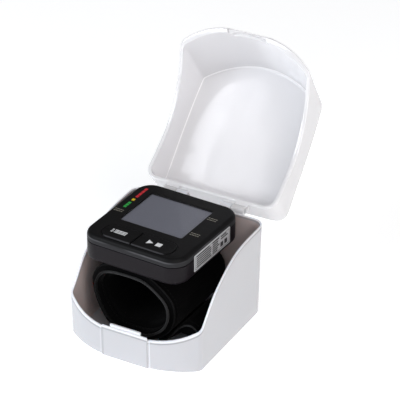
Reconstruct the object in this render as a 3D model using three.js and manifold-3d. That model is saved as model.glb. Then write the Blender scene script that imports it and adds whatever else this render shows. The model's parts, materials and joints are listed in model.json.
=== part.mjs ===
// Wrist blood pressure monitor in its flip-top storage case.
// Millimetres, +Z up, the front of the case faces -Y, and the lid hinges at the rear.
// The origin is the middle of the case's bottom face. The lid is drawn closed and then
// turned open about its hinge, as the case stands while the monitor is taken out.

import * as THREE from 'three';
import { mergeVertices } from 'three/addons/utils/BufferGeometryUtils.js';
import Module from 'manifold-3d';

const wasm = await Module();
wasm.setup();

// Clearances
const gap = 0.3;          // between pieces that meet or run in each other
const overrun = 1;        // how far a cutter passes the face that it cuts

// Storage case
const caseWall = 2;
const sideRoom = 8;           // free room beside the monitor, on average
const frontRoom = 15;         // in front of the monitor
const rearRoom = 0.7;         // behind the monitor
const caseFloor = 2.2;
const caseRearCorner = 8;     // upright corner radii
const caseFrontCorner = 5;
const frontPanelWidth = 32;   // the flat panel between the two steps
const frontPanelStep = 0.9;   // how far the panel stands proud
const frontBowRadius = 57;    // the curved stretches either side of the panel
const frontBowOffset = 9;     // their centres, sideways from the middle
const wallFlare = THREE.MathUtils.degToRad(1);
const frontRimHeight = 19.6;  // the rim at the front panel
const rearRimHeight = 62.8;   // the rim at the rear wall

// The rim's side view, as shares of the case's depth and of the rim's rise
const rimShares = [
  [-0.03, 0], [0, 0], [0.067, 0.081], [0.153, 0.225], [0.198, 0.322], [0.268, 0.5],
  [0.335, 0.637], [0.461, 0.817], [0.593, 0.94], [0.736, 0.986], [1, 1], [1.03, 1],
];

// Lid
const lidFrontHeight = 69;    // top of the lid at the front and at the rear, closed
const lidRearHeight = 87;
const lidCrown = 1;           // how much higher the top is along its middle
const lidRoof = 1.7;          // thickness of the top
const lidRearRadius = 12;
const lidInnerBow = 76;       // radius of the front wall's inner face
const lidDraft = THREE.MathUtils.degToRad(3);
const lidLean = THREE.MathUtils.degToRad(3);      // its front leans out in the middle
const lidOpening = THREE.MathUtils.degToRad(145.5);

// Catch: a tab on the base's rim and a recess for it inside the lid
const tabWidth = 23;
const tabThickness = 1.4;
const tabRise = 2;
const tabRoot = 4;            // how far the tab runs down the inside of the wall
const tabBite = 0.9;          // how far the tab reaches into the wall's thickness

// Hinge
const hingeBehind = 6;        // axis behind the rear wall's bottom edge
const hingeBelowRim = 0.4;
const knuckleRadius = 2.6;
const lugInset = 33.6;        // the base's lugs' inner faces, from the case's sides
const lugLength = 8;
const lidKnuckleLength = 9;
const hingePinRadius = 1.2;
const armThickness = 3;

// Monitor housing
const monitorWidth = 70;
const bayEndRoom = 14.7;      // from either end of the cells to the housing's end
const monitorCorner = 11;
const monitorTop = 69.4;      // height of its top face in the case
const coverHeight = 5.6;      // top cover, down to the seam
const housingHeight = 11.9;   // lower housing
const housingWall = 1.6;
const housingFloor = 1.6;
const coverRoof = 1.7;
const topEdgeRadius = 2.2;
const bottomEdgeRadius = 1.2;
const monitorOffsetX = -4.5;  // middle of the monitor in the case
const monitorOffsetY = 7.3;
const monitorTurn = THREE.MathUtils.degToRad(-2.5);

// Display
const displayWidth = 43.4;
const displayDepth = 35.4;
const displayX = -0.8;
const displayY = 6.6;
const windowMargin = 1.6;     // the window rests on a ledge this wide
const windowThickness = 1.1;
const windowSunk = 0.15;
const windowCorner = 1;
const panelMargin = 1.2;      // the liquid crystal panel past the visible part
const panelThickness = 1.5;
const circuitThickness = 1;
const circuitInset = 4.6;     // board edge inside the housing's outer side
const circuitCornerCut = 6.6;

// Keys
const keyRowWidth = 49.6;
const keyRowDepth = 15;
const keyRowX = 0.2;
const keyRowInset = 11.1;     // middle of the keys from the housing's front
const keySplitX = -1.7;
const keyGroove = 0.9;
const keyThickness = 1.3;
const keyTravel = 0.5;
const keyCorner = 6.5;
const keyProud = 0.2;
const switchSide = 5;
const switchHeight = 1;
const switchPlungerRadius = 1.4;

// Battery bay on the left flank
const cellRadius = 5.2;
const cellLength = 43.6;
const cellNubRadius = 1.9;
const cellNubLength = 0.9;
const cellSide = 7.1;         // middle of the outer cell from the flank
const cellPitch = 10.9;
const cellY = 0.6;
const contactThickness = 0.5;
const contactHeight = 8;
const springRadius = 2.6;
const springLength = 1.1;
const bayWall = 1;
const doorThickness = 1.3;
const doorHeight = 8.6;
const doorOverlap = 1.4;      // the door reaches this far behind the bay
const doorLift = 2;           // bottom of the door above the housing's underside

// Screws that hold the housing together
const screwInset = 5.8;       // from the housing's sides
const postRadius = 2.5;
const screwShankRadius = 0.85;
const screwHeadRadius = 1.9;
const screwHeadHeight = 1;
const screwReach = 1.4;       // the screw's tip below the cover's roof

// Pump, valve, sensor and air way
const motorRadius = 4.9;
const motorLength = 20;
const pumpInset = 10.6;       // middle of the pump from the right flank
const pumpRearInset = 10.5;   // pump head and valve in front of the housing's rear
const pumpHeadLength = 10;
const pumpHeadWidth = 11;
const pumpHeadHeight = 9.8;
const valveRadius = 3.8;
const valveLength = 11;
const valvePitch = 7.2;       // valve beside the pump's hose
const valveRearInset = 12.5;
const manifoldSide = 2.8;    // manifold past the middle of its outer nipples
const manifoldDepth = 7;
const manifoldHeight = 4.4;
const manifoldY = 1;
const nippleRadius = 1.2;
const nippleLength = 2.6;
const hoseRadius = 1.9;
const hoseBoreRadius = 1.5;
const hoseBend = 3;
const sensorSide = 8;
const sensorHeight = 3;
const buzzerRadius = 5.5;
const buzzerHeight = 1.6;
const buzzerX = 8;
const buzzerFrontInset = 16.5;

// Rating label on the right flank
const labelLength = 41;
const labelHeight = 11;
const labelThickness = 0.25;
const labelY = 0.8;
const labelBelowTop = 3.6;

// Cuff
const saddleThickness = 1.4;
const saddleWidth = 46;
const saddleDepth = 50;
const cuffSideInset = 5;      // the loop's sides inside the housing's
const cuffX = -2;
const cuffFrontInset = 4;     // the cuff's edges inside the housing's front and rear
const cuffRearInset = 5;
const cuffSleeve = 1.4;       // layers, from outside to inside
const cuffFormer = 0.9;
const cuffBladder = 1.3;
const cuffLining = 1.1;
const bindingDepth = 2.2;
const bindingProud = 0.25;
const cuffBulge = 3;          // how far the loop's flanks swell past its top and foot
const cuffCornerPower = 2.9;  // 2 is an ellipse, and more is squarer
const cuffTaper = 5;          // how far the flanks draw in towards the foot
const tailThickness = 2.4;
const tailLength = 48;
const tailFrontInset = 8;     // the tail's front edge behind the cuff's

// The strap tail's middle line beside the cuff, as shares of the room to its right
// and of the cuff's height
const tailShares = [
  [-0.32, 0.11], [-0.17, 0.19], [0.02, 0.28], [0.24, 0.35], [0.44, 0.35], [0.63, 0.3], [0.78, 0.19],
];

// Values that follow from the sizes above
const monitorDepth = cellLength + 2 * bayEndRoom;
const caseWidth = monitorWidth + 2 * (sideRoom + caseWall);
const caseFrontReach = monitorDepth / 2 - monitorOffsetY + frontRoom + caseWall;
const caseRearReach = monitorDepth / 2 + monitorOffsetY + rearRoom + caseWall;
const halfCase = caseWidth / 2;
const caseDepth = caseFrontReach + caseRearReach;
const hingeY = caseRearReach + hingeBehind;
const hingeZ = rearRimHeight - hingeBelowRim;
const seamZ = monitorTop - coverHeight;
const housingTopZ = seamZ - gap;
const housingBottomZ = housingTopZ - housingHeight;
const bayFloorZ = housingBottomZ + housingFloor;
const roofUnderZ = monitorTop - coverRoof;
const halfMonitor = monitorWidth / 2;
const halfMonitorDepth = monitorDepth / 2;
const keyRowY = keyRowInset - halfMonitorDepth;
const pumpX = halfMonitor - pumpInset;
const pumpRearY = halfMonitorDepth - pumpRearInset;
const valveRearY = halfMonitorDepth - valveRearInset;
const buzzerY = buzzerFrontInset - halfMonitorDepth;

// The pump's hose comes down to the manifold at portX, and the valve's beside it.
const portX = pumpX - pumpHeadWidth / 2 - gap - nippleLength - hoseBend;
const valveX = portX - valvePitch;

const cellFrontY = cellY - cellLength / 2;
const cellRearY = cellY + cellLength / 2;
const bayY0 = cellFrontY - 2 * gap - springLength - contactThickness;
const bayY1 = cellRearY + 2 * gap + springLength + contactThickness;
const doorRearY = bayY1 + doorOverlap;
const cellZ = bayFloorZ + gap + cellRadius;
const boardBottomZ = cellZ + cellRadius + gap;
const boardTopZ = boardBottomZ + circuitThickness;
const knuckleInner = halfCase - lugInset;
const cuffWidth = monitorWidth - 2 * cuffSideInset;
const cuffLength = monitorDepth - cuffFrontInset - cuffRearInset;
const cuffTopZ = housingBottomZ - gap - saddleThickness - gap;
const cuffBottomZ = caseFloor + gap;
const cuffHeight = cuffTopZ - cuffBottomZ;
const cuffFrontY = -halfMonitorDepth + cuffFrontInset;
const cuffLayers = cuffSleeve + cuffFormer + cuffBladder + cuffLining + 3 * gap;

// Turns a closed geometry into a solid for joining and cutting.
function solidOf(geometry) {
  const bare = geometry.clone();
  bare.deleteAttribute('normal');
  bare.deleteAttribute('uv');
  const merged = mergeVertices(bare);
  return new wasm.Manifold(new wasm.Mesh({
    numProp: 3,
    vertProperties: new Float32Array(merged.attributes.position.array),
    triVerts: new Uint32Array(merged.index.array),
  }));
}

// Turns a solid back into a geometry.
function geometryOf(solid) {
  const mesh = solid.getMesh();
  const geometry = new THREE.BufferGeometry();
  geometry.setAttribute('position', new THREE.BufferAttribute(mesh.vertProperties, 3));
  geometry.setIndex(new THREE.BufferAttribute(mesh.triVerts, 1));
  geometry.computeVertexNormals();
  return geometry;
}

function joined(first, ...others) {
  return others.reduce((sum, other) => sum.add(other), first);
}

function cut(first, ...others) {
  return others.reduce((rest, other) => rest.subtract(other), first);
}

// A box between two corners.
function block(x0, x1, y0, y1, z0, z1) {
  const box = new THREE.BoxGeometry(x1 - x0, y1 - y0, z1 - z0);
  box.translate((x0 + x1) / 2, (y0 + y1) / 2, (z0 + z1) / 2);
  return solidOf(box);
}

// A round bar along one axis, from one end to the other, at the other two coordinates.
function bar(axis, from, to, first, second, radius, sides = 16) {
  const rod = new THREE.CylinderGeometry(radius, radius, to - from, sides);
  const middle = (from + to) / 2;
  if (axis === 'x') {
    rod.rotateZ(-Math.PI / 2);
    rod.translate(middle, first, second);
  } else if (axis === 'y') {
    rod.translate(first, middle, second);
  } else {
    rod.rotateX(Math.PI / 2);
    rod.translate(first, second, middle);
  }
  return solidOf(rod);
}

// A flat outline raised from one height to another.
function raised(shape, z0, z1, curveSegments = 6, steps = 1) {
  const geometry = new THREE.ExtrudeGeometry(shape, {
    depth: z1 - z0, bevelEnabled: false, curveSegments, steps,
  });
  geometry.translate(0, 0, z0);
  return geometry;
}

// A (y, z) outline drawn out along X, from one side to the other.
function drawnAcross(shape, x0, x1, curveSegments = 6, steps = 1) {
  const geometry = new THREE.ExtrudeGeometry(shape, {
    depth: x1 - x0, bevelEnabled: false, curveSegments, steps,
  });
  geometry.applyMatrix4(new THREE.Matrix4().makeBasis(
    new THREE.Vector3(0, 1, 0), new THREE.Vector3(0, 0, 1), new THREE.Vector3(1, 0, 0)));
  geometry.translate(x0, 0, 0);
  return geometry;
}

// A rectangle with round corners.
function roundedRectangle(x0, x1, y0, y1, radius) {
  const shape = new THREE.Shape();
  shape.moveTo(x0 + radius, y0);
  shape.absarc(x1 - radius, y0 + radius, radius, -Math.PI / 2, 0);
  shape.absarc(x1 - radius, y1 - radius, radius, 0, Math.PI / 2);
  shape.absarc(x0 + radius, y1 - radius, radius, Math.PI / 2, Math.PI);
  shape.absarc(x0 + radius, y0 + radius, radius, Math.PI, 1.5 * Math.PI);
  return shape;
}

// A copy of a shape's points, mirrored left to right and in reverse order.
function mirrored(points) {
  return points.map((point) => new THREE.Vector2(-point.x, point.y)).reverse();
}

// Points along a circle's arc.
function arcPoints(x, y, radius, from, to, count) {
  return Array.from({ length: count + 1 }, (_, i) => {
    const angle = from + (to - from) * i / count;
    return new THREE.Vector2(x + radius * Math.cos(angle), y + radius * Math.sin(angle));
  });
}

// The right half of the case's plan behind the front corner, drawn in by an inset.
function planSide(inset, cornerY) {
  const sideStops = 9;
  const rearY = caseRearReach - caseRearCorner;
  const side = Array.from({ length: sideStops }, (_, i) => new THREE.Vector2(
    halfCase - inset, cornerY + (rearY - cornerY) * (i + 1) / (sideStops + 1)));
  return [...side,
    ...arcPoints(halfCase - caseRearCorner, rearY, caseRearCorner - inset, 0, Math.PI / 2, 5)];
}

// The case's plan, drawn in from the outside by an inset. The right half runs from the
// front panel along the bowed stretch and the side to the rear corner.
function casePlan(inset) {
  const panelHalf = frontPanelWidth / 2 - inset;
  const bowRise = Math.sqrt(frontBowRadius ** 2 - (frontPanelWidth / 2 - frontBowOffset) ** 2);
  const bowY = frontPanelStep - caseFrontReach + bowRise;
  const bow = frontBowRadius - inset;
  const corner = caseFrontCorner - inset;
  const cornerX = halfCase - caseFrontCorner;
  const reach = frontBowRadius - caseFrontCorner;
  const cornerY = bowY - Math.sqrt(reach ** 2 - (cornerX - frontBowOffset) ** 2);
  const turn = Math.atan2(cornerY - bowY, cornerX - frontBowOffset);
  const start = -Math.acos((panelHalf - frontBowOffset) / bow);
  const right = [
    new THREE.Vector2(panelHalf, inset - caseFrontReach),
    ...arcPoints(frontBowOffset, bowY, bow, start, turn, 8),
    ...arcPoints(cornerX, cornerY, corner, turn, 0, 4).slice(1),
    ...planSide(inset, cornerY),
  ];
  return new THREE.Shape([...right, ...mirrored(right)]);
}

// The plan of the lid's hollow: its front is one smooth bow from corner to corner.
function lidHollowPlan(inset) {
  const corner = caseFrontCorner - inset;
  const cornerX = halfCase - caseFrontCorner;
  const bowY = inset - caseFrontReach + lidInnerBow;
  const cornerY = bowY - Math.sqrt((lidInnerBow - corner) ** 2 - cornerX ** 2);
  const turn = Math.atan2(cornerY - bowY, cornerX);
  const right = [
    ...arcPoints(0, bowY, lidInnerBow, -Math.PI / 2, turn, 10).slice(1),
    ...arcPoints(cornerX, cornerY, corner, turn, 0, 4).slice(1),
    ...planSide(inset, cornerY),
  ];
  return new THREE.Shape([...right, ...mirrored(right),
    new THREE.Vector2(0, inset - caseFrontReach)]);
}

// The rim's side view as points (y, z), and its height at any y.
const rimCurve = new THREE.SplineCurve(rimShares.map(([depthShare, riseShare]) =>
  new THREE.Vector2(
    depthShare * caseDepth - caseFrontReach,
    frontRimHeight + riseShare * (rearRimHeight - frontRimHeight))));
const rimPoints = rimCurve.getPoints(40);

function rimHeight(y) {
  const next = rimPoints.findIndex((point) => point.x >= y);
  if (next === 0) return rimPoints[0].y;
  if (next < 0) return rimPoints[rimPoints.length - 1].y;
  const a = rimPoints[next - 1];
  const b = rimPoints[next];
  return a.y + (b.y - a.y) * (y - a.x) / (b.x - a.x);
}

// Moves each point of an upright wall outwards or inwards by a rule of its place. The
// front half has a rule of its own for how far it stands out.
function leaned(geometry, growth, frontGrowth) {
  const place = geometry.attributes.position;
  for (let i = 0; i < place.count; i += 1) {
    const x = place.getX(i);
    const y = place.getY(i);
    const z = place.getZ(i);
    const out = y < 0 ? frontGrowth(x, z) : growth(y, z);
    place.setX(i, x * (1 + growth(y, z) / halfCase));
    place.setY(i, y * (1 + out / caseRearReach));
  }
  return geometry;
}

function baseGrowth(place, z) {
  return Math.tan(wallFlare) * z;
}

// The lid is as wide as the base along the rim, and narrows upwards from there.
function lidGrowth(y, z) {
  const rim = rimHeight(y);
  return Math.tan(wallFlare) * rim - Math.tan(lidDraft) * (z - rim);
}

// The lid's front carries on from the base's, and leans out further in its middle.
function lidFrontGrowth(x, z) {
  const share = Math.max(1 - (x / halfCase) ** 2, 0);
  return baseGrowth(x, z) + share * Math.tan(lidLean) * Math.max(z - frontRimHeight, 0);
}

function baseWall(plan, z0, z1) {
  return solidOf(leaned(raised(plan, z0, z1), baseGrowth, baseGrowth));
}

function lidWall(plan, z0, z1) {
  const wallSteps = 7;
  return solidOf(leaned(raised(plan, z0, z1, 6, wallSteps), lidGrowth, lidFrontGrowth));
}

// Everything in front of or above the rim curve raised by a lift, as a block.
function aboveRim(lift) {
  const far = caseWidth;
  const shape = new THREE.Shape([
    new THREE.Vector2(-far, frontRimHeight + lift),
    ...rimPoints.map((point) => new THREE.Vector2(point.x, point.y + lift)),
    new THREE.Vector2(far, rearRimHeight + lift),
    new THREE.Vector2(far, lidRearHeight + far),
    new THREE.Vector2(-far, lidRearHeight + far),
  ]);
  return solidOf(drawnAcross(shape, -far, far));
}

// The space under the lid's top: its rear wall drawn in by an inset and its sloping,
// crowned top lowered by a drop, with a round edge between them.
function underRoof(inset, drop) {
  const run = caseDepth - lidRearRadius;
  const rise = (lidRearHeight - lidFrontHeight) / run;
  const roofZ = (y) => lidFrontHeight + rise * (y + caseFrontReach) - drop;
  const far = caseDepth;
  const rear = caseRearReach + Math.tan(wallFlare) * rearRimHeight - inset;
  const radius = lidRearRadius - inset;
  const slope = Math.atan(rise);
  const roundY = rear - radius;
  const meetY = roundY - radius * Math.sin(slope);
  const roundZ = roofZ(meetY) - radius * Math.cos(slope);
  const shape = new THREE.Shape([
    new THREE.Vector2(-far, 0),
    new THREE.Vector2(rear, 0),
    ...arcPoints(roundY, roundZ, radius, 0, Math.PI / 2 + slope, 8),
    new THREE.Vector2(-far, roofZ(-far)),
  ]);
  const geometry = drawnAcross(shape, -caseWidth, caseWidth, 6, 24);
  const place = geometry.attributes.position;
  for (let i = 0; i < place.count; i += 1) {
    const share = place.getX(i) / halfCase;
    const lift = place.getZ(i) > 0 ? lidCrown * Math.max(1 - share * share, 0) : 0;
    place.setZ(i, place.getZ(i) + lift);
  }
  return solidOf(geometry);
}

// Lug or knuckle: a round eye on the hinge axis with an arm to the rear wall.
function hingeEye(x0, x1, armZ0, armZ1) {
  const eye = bar('x', x0, x1, hingeY, hingeZ, knuckleRadius, 20);
  const wallY = caseRearReach - caseWall / 2;
  const arm = block(x0, x1, wallY, hingeY, armZ0, armZ1);
  const bore = bar('x', x0 - overrun, x1 + overrun, hingeY, hingeZ, hingePinRadius + gap, 16);
  return { body: joined(eye, arm), bore };
}

const lugOuter = knuckleInner + lugLength;
const knuckleOuter = lugOuter + gap + lidKnuckleLength;

// Open tub with its sloping rim, front panel, catch tab and hinge lugs.
function caseBase() {
  const top = rearRimHeight + overrun;
  const outside = baseWall(casePlan(0), 0, top);
  const inside = baseWall(casePlan(caseWall), caseFloor, top + overrun);
  const wallY = caseWall - caseFrontReach;
  const tab = block(-tabWidth / 2, tabWidth / 2, wallY - tabBite, wallY - tabBite + tabThickness,
    frontRimHeight - tabRoot, frontRimHeight + tabRise);
  const shell = cut(outside, inside, aboveRim(0));
  const lugs = [-1, 1].map((side) => {
    const near = side < 0 ? -lugOuter : knuckleInner;
    return hingeEye(near, near + lugLength, hingeZ - armThickness, hingeZ);
  });
  const whole = joined(shell, tab, ...lugs.map((lug) => lug.body));
  return cut(whole, ...lugs.map((lug) => lug.bore));
}

// Lid, closed: walls down to the rim, sloping top, catch recess and hinge knuckles.
function caseLid() {
  const low = frontRimHeight - overrun;
  const high = lidRearHeight + lidCrown + overrun;
  const outside = lidWall(casePlan(0), low, high)
    .intersect(underRoof(0, 0)).intersect(aboveRim(gap));
  const inside = lidWall(lidHollowPlan(caseWall), low - overrun, high)
    .intersect(underRoof(caseWall, lidRoof));
  const wallY = caseWall - caseFrontReach;
  const recess = block(-tabWidth / 2 - gap, tabWidth / 2 + gap,
    wallY - tabBite - gap, wallY + tabThickness, low, frontRimHeight + tabRise + 2 * gap);
  const armBottom = rearRimHeight + gap;
  const knuckles = [-1, 1].map((side) => {
    const near = side < 0 ? -knuckleOuter : lugOuter + gap;
    return hingeEye(near, near + lidKnuckleLength, armBottom, armBottom + armThickness);
  });
  const trimmed = knuckles.map((knuckle) => cut(knuckle.body, inside));
  return cut(joined(outside.subtract(inside), ...trimmed), recess,
    ...knuckles.map((knuckle) => knuckle.bore));
}

function hingePin(side) {
  const near = side < 0 ? -knuckleOuter : knuckleInner;
  return bar('x', near, near + knuckleOuter - knuckleInner, hingeY, hingeZ, hingePinRadius, 12);
}

// The monitor's plan, drawn in from the outside by an inset.
function monitorPlan(inset) {
  return roundedRectangle(inset - halfMonitor, halfMonitor - inset,
    inset - halfMonitorDepth, halfMonitorDepth - inset, monitorCorner - inset);
}

// A block of the monitor's plan with one rounded edge, at its top or at its underside.
function roundedBlock(z0, z1, radius, roundTop) {
  const geometry = new THREE.ExtrudeGeometry(monitorPlan(0), {
    depth: z1 - z0, bevelEnabled: true, bevelThickness: radius, bevelSize: radius,
    bevelOffset: -radius, bevelSegments: 3, curveSegments: 6,
  });
  geometry.translate(0, 0, roundTop ? z0 - radius : z0 + radius);
  return solidOf(geometry).intersect(block(-monitorWidth, monitorWidth,
    -monitorDepth, monitorDepth, z0, z1));
}

// Places of the four corner screws.
const screwPlaces = [-1, 1].flatMap((sx) => [-1, 1].map((sy) => [
  sx * (halfMonitor - screwInset), sy * (halfMonitorDepth - screwInset)]));

// The opening for both keys, and one key's outline, each drawn out by a margin.
function keyRowShape(margin) {
  return roundedRectangle(keyRowX - keyRowWidth / 2 - margin, keyRowX + keyRowWidth / 2 + margin,
    keyRowY - keyRowDepth / 2 - margin, keyRowY + keyRowDepth / 2 + margin, keyCorner + margin);
}

function displayBox(margin, z0, z1) {
  const shape = roundedRectangle(displayX - displayWidth / 2 - margin,
    displayX + displayWidth / 2 + margin, displayY - displayDepth / 2 - margin,
    displayY + displayDepth / 2 + margin, windowCorner);
  return solidOf(raised(shape, z0, z1, 2));
}

function topCover() {
  const outside = roundedBlock(seamZ, monitorTop, topEdgeRadius, true);
  const inside = solidOf(raised(monitorPlan(housingWall), seamZ - overrun, roofUnderZ, 4));
  const keyHole = solidOf(raised(keyRowShape(gap), roofUnderZ - overrun, monitorTop + overrun, 5));
  const windowSeat = displayBox(windowMargin + gap,
    monitorTop - windowSunk - windowThickness - gap, monitorTop + overrun);
  const windowHole = displayBox(0, roofUnderZ - overrun, monitorTop);
  const bridge = block(keySplitX - keyGroove / 2 + gap, keySplitX + keyGroove / 2 - gap,
    keyRowY - keyRowDepth / 2 - overrun, keyRowY + keyRowDepth / 2 + overrun,
    roofUnderZ, monitorTop - coverRoof / 2);
  const posts = screwPlaces.map(([x, y]) => cut(
    bar('z', seamZ, roofUnderZ + gap, x, y, postRadius, 12),
    bar('z', seamZ - overrun, roofUnderZ - screwReach + gap, x, y, screwShankRadius + gap, 10)));
  return joined(cut(outside, inside, keyHole, windowSeat, windowHole), bridge, ...posts);
}

// The slice of the left flank that slides forward off the battery bay.
const doorZ0 = housingBottomZ + doorLift;
function doorSlice(grow) {
  return block(-halfMonitor - overrun, -halfMonitor + doorThickness + grow,
    -halfMonitorDepth - overrun, doorRearY + grow, doorZ0 - grow, doorZ0 + doorHeight + grow);
}

function batteryDoor() {
  return solidOf(raised(monitorPlan(0), doorZ0, doorZ0 + doorHeight)).intersect(doorSlice(0));
}

const cellXs = [cellSide - halfMonitor, cellSide - halfMonitor + cellPitch];
const bayX1 = cellXs[1] + cellRadius + gap;

function lowerHousing() {
  const outside = roundedBlock(housingBottomZ, housingTopZ, bottomEdgeRadius, false);
  const inside = solidOf(raised(monitorPlan(housingWall), bayFloorZ, housingTopZ + overrun, 4));
  const bayWindow = block(-halfMonitor - overrun, -halfMonitor + housingWall + overrun,
    bayY0, doorRearY - housingWall,
    doorZ0 + housingWall / 2, doorZ0 + doorHeight - housingWall / 2);
  const rootZ = housingBottomZ + housingFloor / 2;
  const rib = (x0, x1, y0, y1) => block(x0, x1, y0, y1, rootZ, housingTopZ);
  const bayX0 = -halfMonitor + housingWall / 2;
  const bayWalls = [
    rib(bayX0, bayX1 + bayWall, bayY0 - bayWall, bayY0),
    rib(bayX0, bayX1 + bayWall, bayY1, bayY1 + bayWall),
    rib(bayX1, bayX1 + bayWall, bayY0 - bayWall, bayY1 + bayWall),
  ];
  const posts = screwPlaces.map(([x, y]) => bar('z', rootZ, housingTopZ, x, y, postRadius, 12));
  const holes = screwPlaces.flatMap(([x, y]) => [
    bar('z', housingBottomZ - overrun, housingTopZ + overrun, x, y, screwShankRadius + gap, 10),
    bar('z', housingBottomZ - overrun, housingBottomZ + screwHeadHeight + gap, x, y,
      screwHeadRadius + gap, 12)]);
  const airHole = bar('z', housingBottomZ - overrun, bayFloorZ + overrun,
    valveX, manifoldY, nippleRadius + gap, 10);
  const shell = cut(outside, inside);
  return cut(joined(shell, ...bayWalls, ...posts), doorSlice(gap), bayWindow, airHole, ...holes);
}

// One key: its half of the row, on either side of the groove.
function key(side) {
  const top = monitorTop + keyProud;
  const row = solidOf(raised(keyRowShape(0), top - keyThickness, top, 5));
  const far = keyRowX + side * keyRowWidth;
  const near = keySplitX + side * keyGroove / 2;
  return row.intersect(block(Math.min(near, far), Math.max(near, far),
    keyRowY - keyRowDepth, keyRowY + keyRowDepth, seamZ, top + overrun));
}

const keyMiddle = (side) => keySplitX / 2 + (keyRowX + side * keyRowWidth / 2) / 2;

function keySwitch(side) {
  const x = keyMiddle(side);
  const bottom = boardTopZ + gap;
  const top = monitorTop + keyProud - keyThickness - keyTravel - gap;
  const body = block(x - switchSide / 2, x + switchSide / 2,
    keyRowY - switchSide / 2, keyRowY + switchSide / 2, bottom, bottom + switchHeight);
  return joined(body, bar('z', bottom + switchHeight / 2, top,
    x, keyRowY, switchPlungerRadius, 10));
}

function displayWindow() {
  const top = monitorTop - windowSunk;
  return displayBox(windowMargin, top - windowThickness, top);
}

function displayPanel() {
  const bottom = boardTopZ + gap;
  return displayBox(panelMargin, bottom, bottom + panelThickness);
}

function circuitBoard() {
  const x = halfMonitor - circuitInset;
  const y = halfMonitorDepth - circuitInset;
  const c = circuitCornerCut;
  const corners = [[x - c, -y], [x, c - y], [x, y - c], [x - c, y],
    [c - x, y], [-x, y - c], [-x, c - y], [c - x, -y]];
  const shape = new THREE.Shape(corners.map(([px, py]) => new THREE.Vector2(px, py)));
  return solidOf(raised(shape, boardBottomZ, boardTopZ));
}

// One cell, with its nub at the front (-1) or at the rear (1).
function cell(x, end) {
  const body = bar('y', cellFrontY, cellRearY, x, cellZ, cellRadius, 20);
  const face = cellY + end * cellLength / 2;
  const root = face - end * overrun;
  const tip = face + end * cellNubLength;
  return joined(body, bar('y', Math.min(root, tip), Math.max(root, tip),
    x, cellZ, cellNubRadius, 12));
}

// A contact strip across both cells at one end of the bay (-1 front, 1 rear), with a
// coil against the cell whose flat end rests there.
function contactStrip(end, coilX) {
  const face = cellY + end * (cellLength / 2 + gap + springLength);
  const back = face + end * contactThickness;
  const strip = block(cellXs[0] - cellRadius / 2, cellXs[1] + cellRadius / 2,
    Math.min(face, back), Math.max(face, back),
    cellZ - contactHeight / 2, cellZ + contactHeight / 2);
  const tip = face - end * springLength;
  const root = face + end * contactThickness / 2;
  return joined(strip, bar('y', Math.min(tip, root), Math.max(tip, root),
    coilX, cellZ, springRadius, 12));
}

function housingScrews() {
  return screwPlaces.map(([x, y]) => joined(
    bar('z', housingBottomZ + gap / 2, housingBottomZ + screwHeadHeight, x, y,
      screwHeadRadius, 12),
    bar('z', housingBottomZ + screwHeadHeight / 2, roofUnderZ - screwReach, x, y,
      screwShankRadius, 8)));
}

const motorZ = bayFloorZ + gap + motorRadius;
const pumpHeadY0 = pumpRearY - pumpHeadLength;
const manifoldZ0 = bayFloorZ + gap;
const manifoldZ = manifoldZ0 + manifoldHeight / 2;
const valveFrontY = valveRearY - valveLength;

function pumpMotor() {
  const y1 = pumpHeadY0 - gap;
  const y0 = y1 - motorLength;
  const body = bar('y', y0, y1, pumpX, motorZ, motorRadius, 18);
  const hub = bar('y', y0 - nippleLength / 2, y0 + nippleLength, pumpX, motorZ, nippleRadius, 10);
  return joined(body, hub);
}

function pumpHead() {
  const body = block(pumpX - pumpHeadWidth / 2, pumpX + pumpHeadWidth / 2,
    pumpHeadY0, pumpRearY, motorZ - pumpHeadHeight / 2, motorZ + pumpHeadHeight / 2);
  const outlet = bar('x', pumpX - pumpHeadWidth / 2 - nippleLength, pumpX,
    pumpHeadY0 + pumpHeadLength / 2, manifoldZ, nippleRadius, 10);
  return joined(body, outlet);
}

function airManifold() {
  const rearY = manifoldY + manifoldDepth / 2;
  const body = block(valveX - manifoldSide, portX + manifoldSide,
    manifoldY - manifoldDepth / 2, rearY, manifoldZ0, manifoldZ0 + manifoldHeight);
  const toPump = bar('y', manifoldY, rearY + nippleLength, portX, manifoldZ, nippleRadius, 10);
  const toValve = bar('y', manifoldY, rearY + nippleLength, valveX, manifoldZ, nippleRadius, 10);
  const toCuff = bar('z', cuffTopZ + gap, manifoldZ, valveX, manifoldY, nippleRadius, 10);
  return joined(body, toPump, toValve, toCuff);
}

function releaseValve() {
  const z = bayFloorZ + gap + valveRadius;
  const body = bar('y', valveFrontY, valveRearY, valveX, z, valveRadius, 16);
  const inlet = bar('y', valveFrontY - nippleLength, valveFrontY + nippleLength,
    valveX, manifoldZ, nippleRadius, 10);
  return joined(body, inlet);
}

// The hose from the pump head: out to the left, round one bend, and forward to the
// manifold, open at both ends.
function pumpHose() {
  const fromX = pumpX - pumpHeadWidth / 2 - gap;
  const fromY = pumpHeadY0 + pumpHeadLength / 2;
  const toY = manifoldY + manifoldDepth / 2 + gap;
  const bendX = portX + hoseBend;
  const bendY = fromY - hoseBend;
  const far = hoseBend + hoseRadius + overrun;
  const tube = (radius, past) => {
    const ring = new THREE.TorusGeometry(hoseBend, radius, 12, 24);
    ring.translate(bendX, bendY, manifoldZ);
    const bend = solidOf(ring).intersect(block(bendX - far, bendX, bendY, bendY + far,
      manifoldZ - far, manifoldZ + far));
    return joined(bend, bar('x', bendX, fromX + past, fromY, manifoldZ, radius, 12),
      bar('y', toY - past, bendY, portX, manifoldZ, radius, 12));
  };
  return cut(tube(hoseRadius, 0), tube(hoseBoreRadius, overrun));
}

function valveHose() {
  const from = manifoldY + manifoldDepth / 2 + gap;
  const to = valveFrontY - gap;
  return cut(bar('y', from, to, valveX, manifoldZ, hoseRadius, 12),
    bar('y', from - overrun, to + overrun, valveX, manifoldZ, hoseBoreRadius, 10));
}

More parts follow.
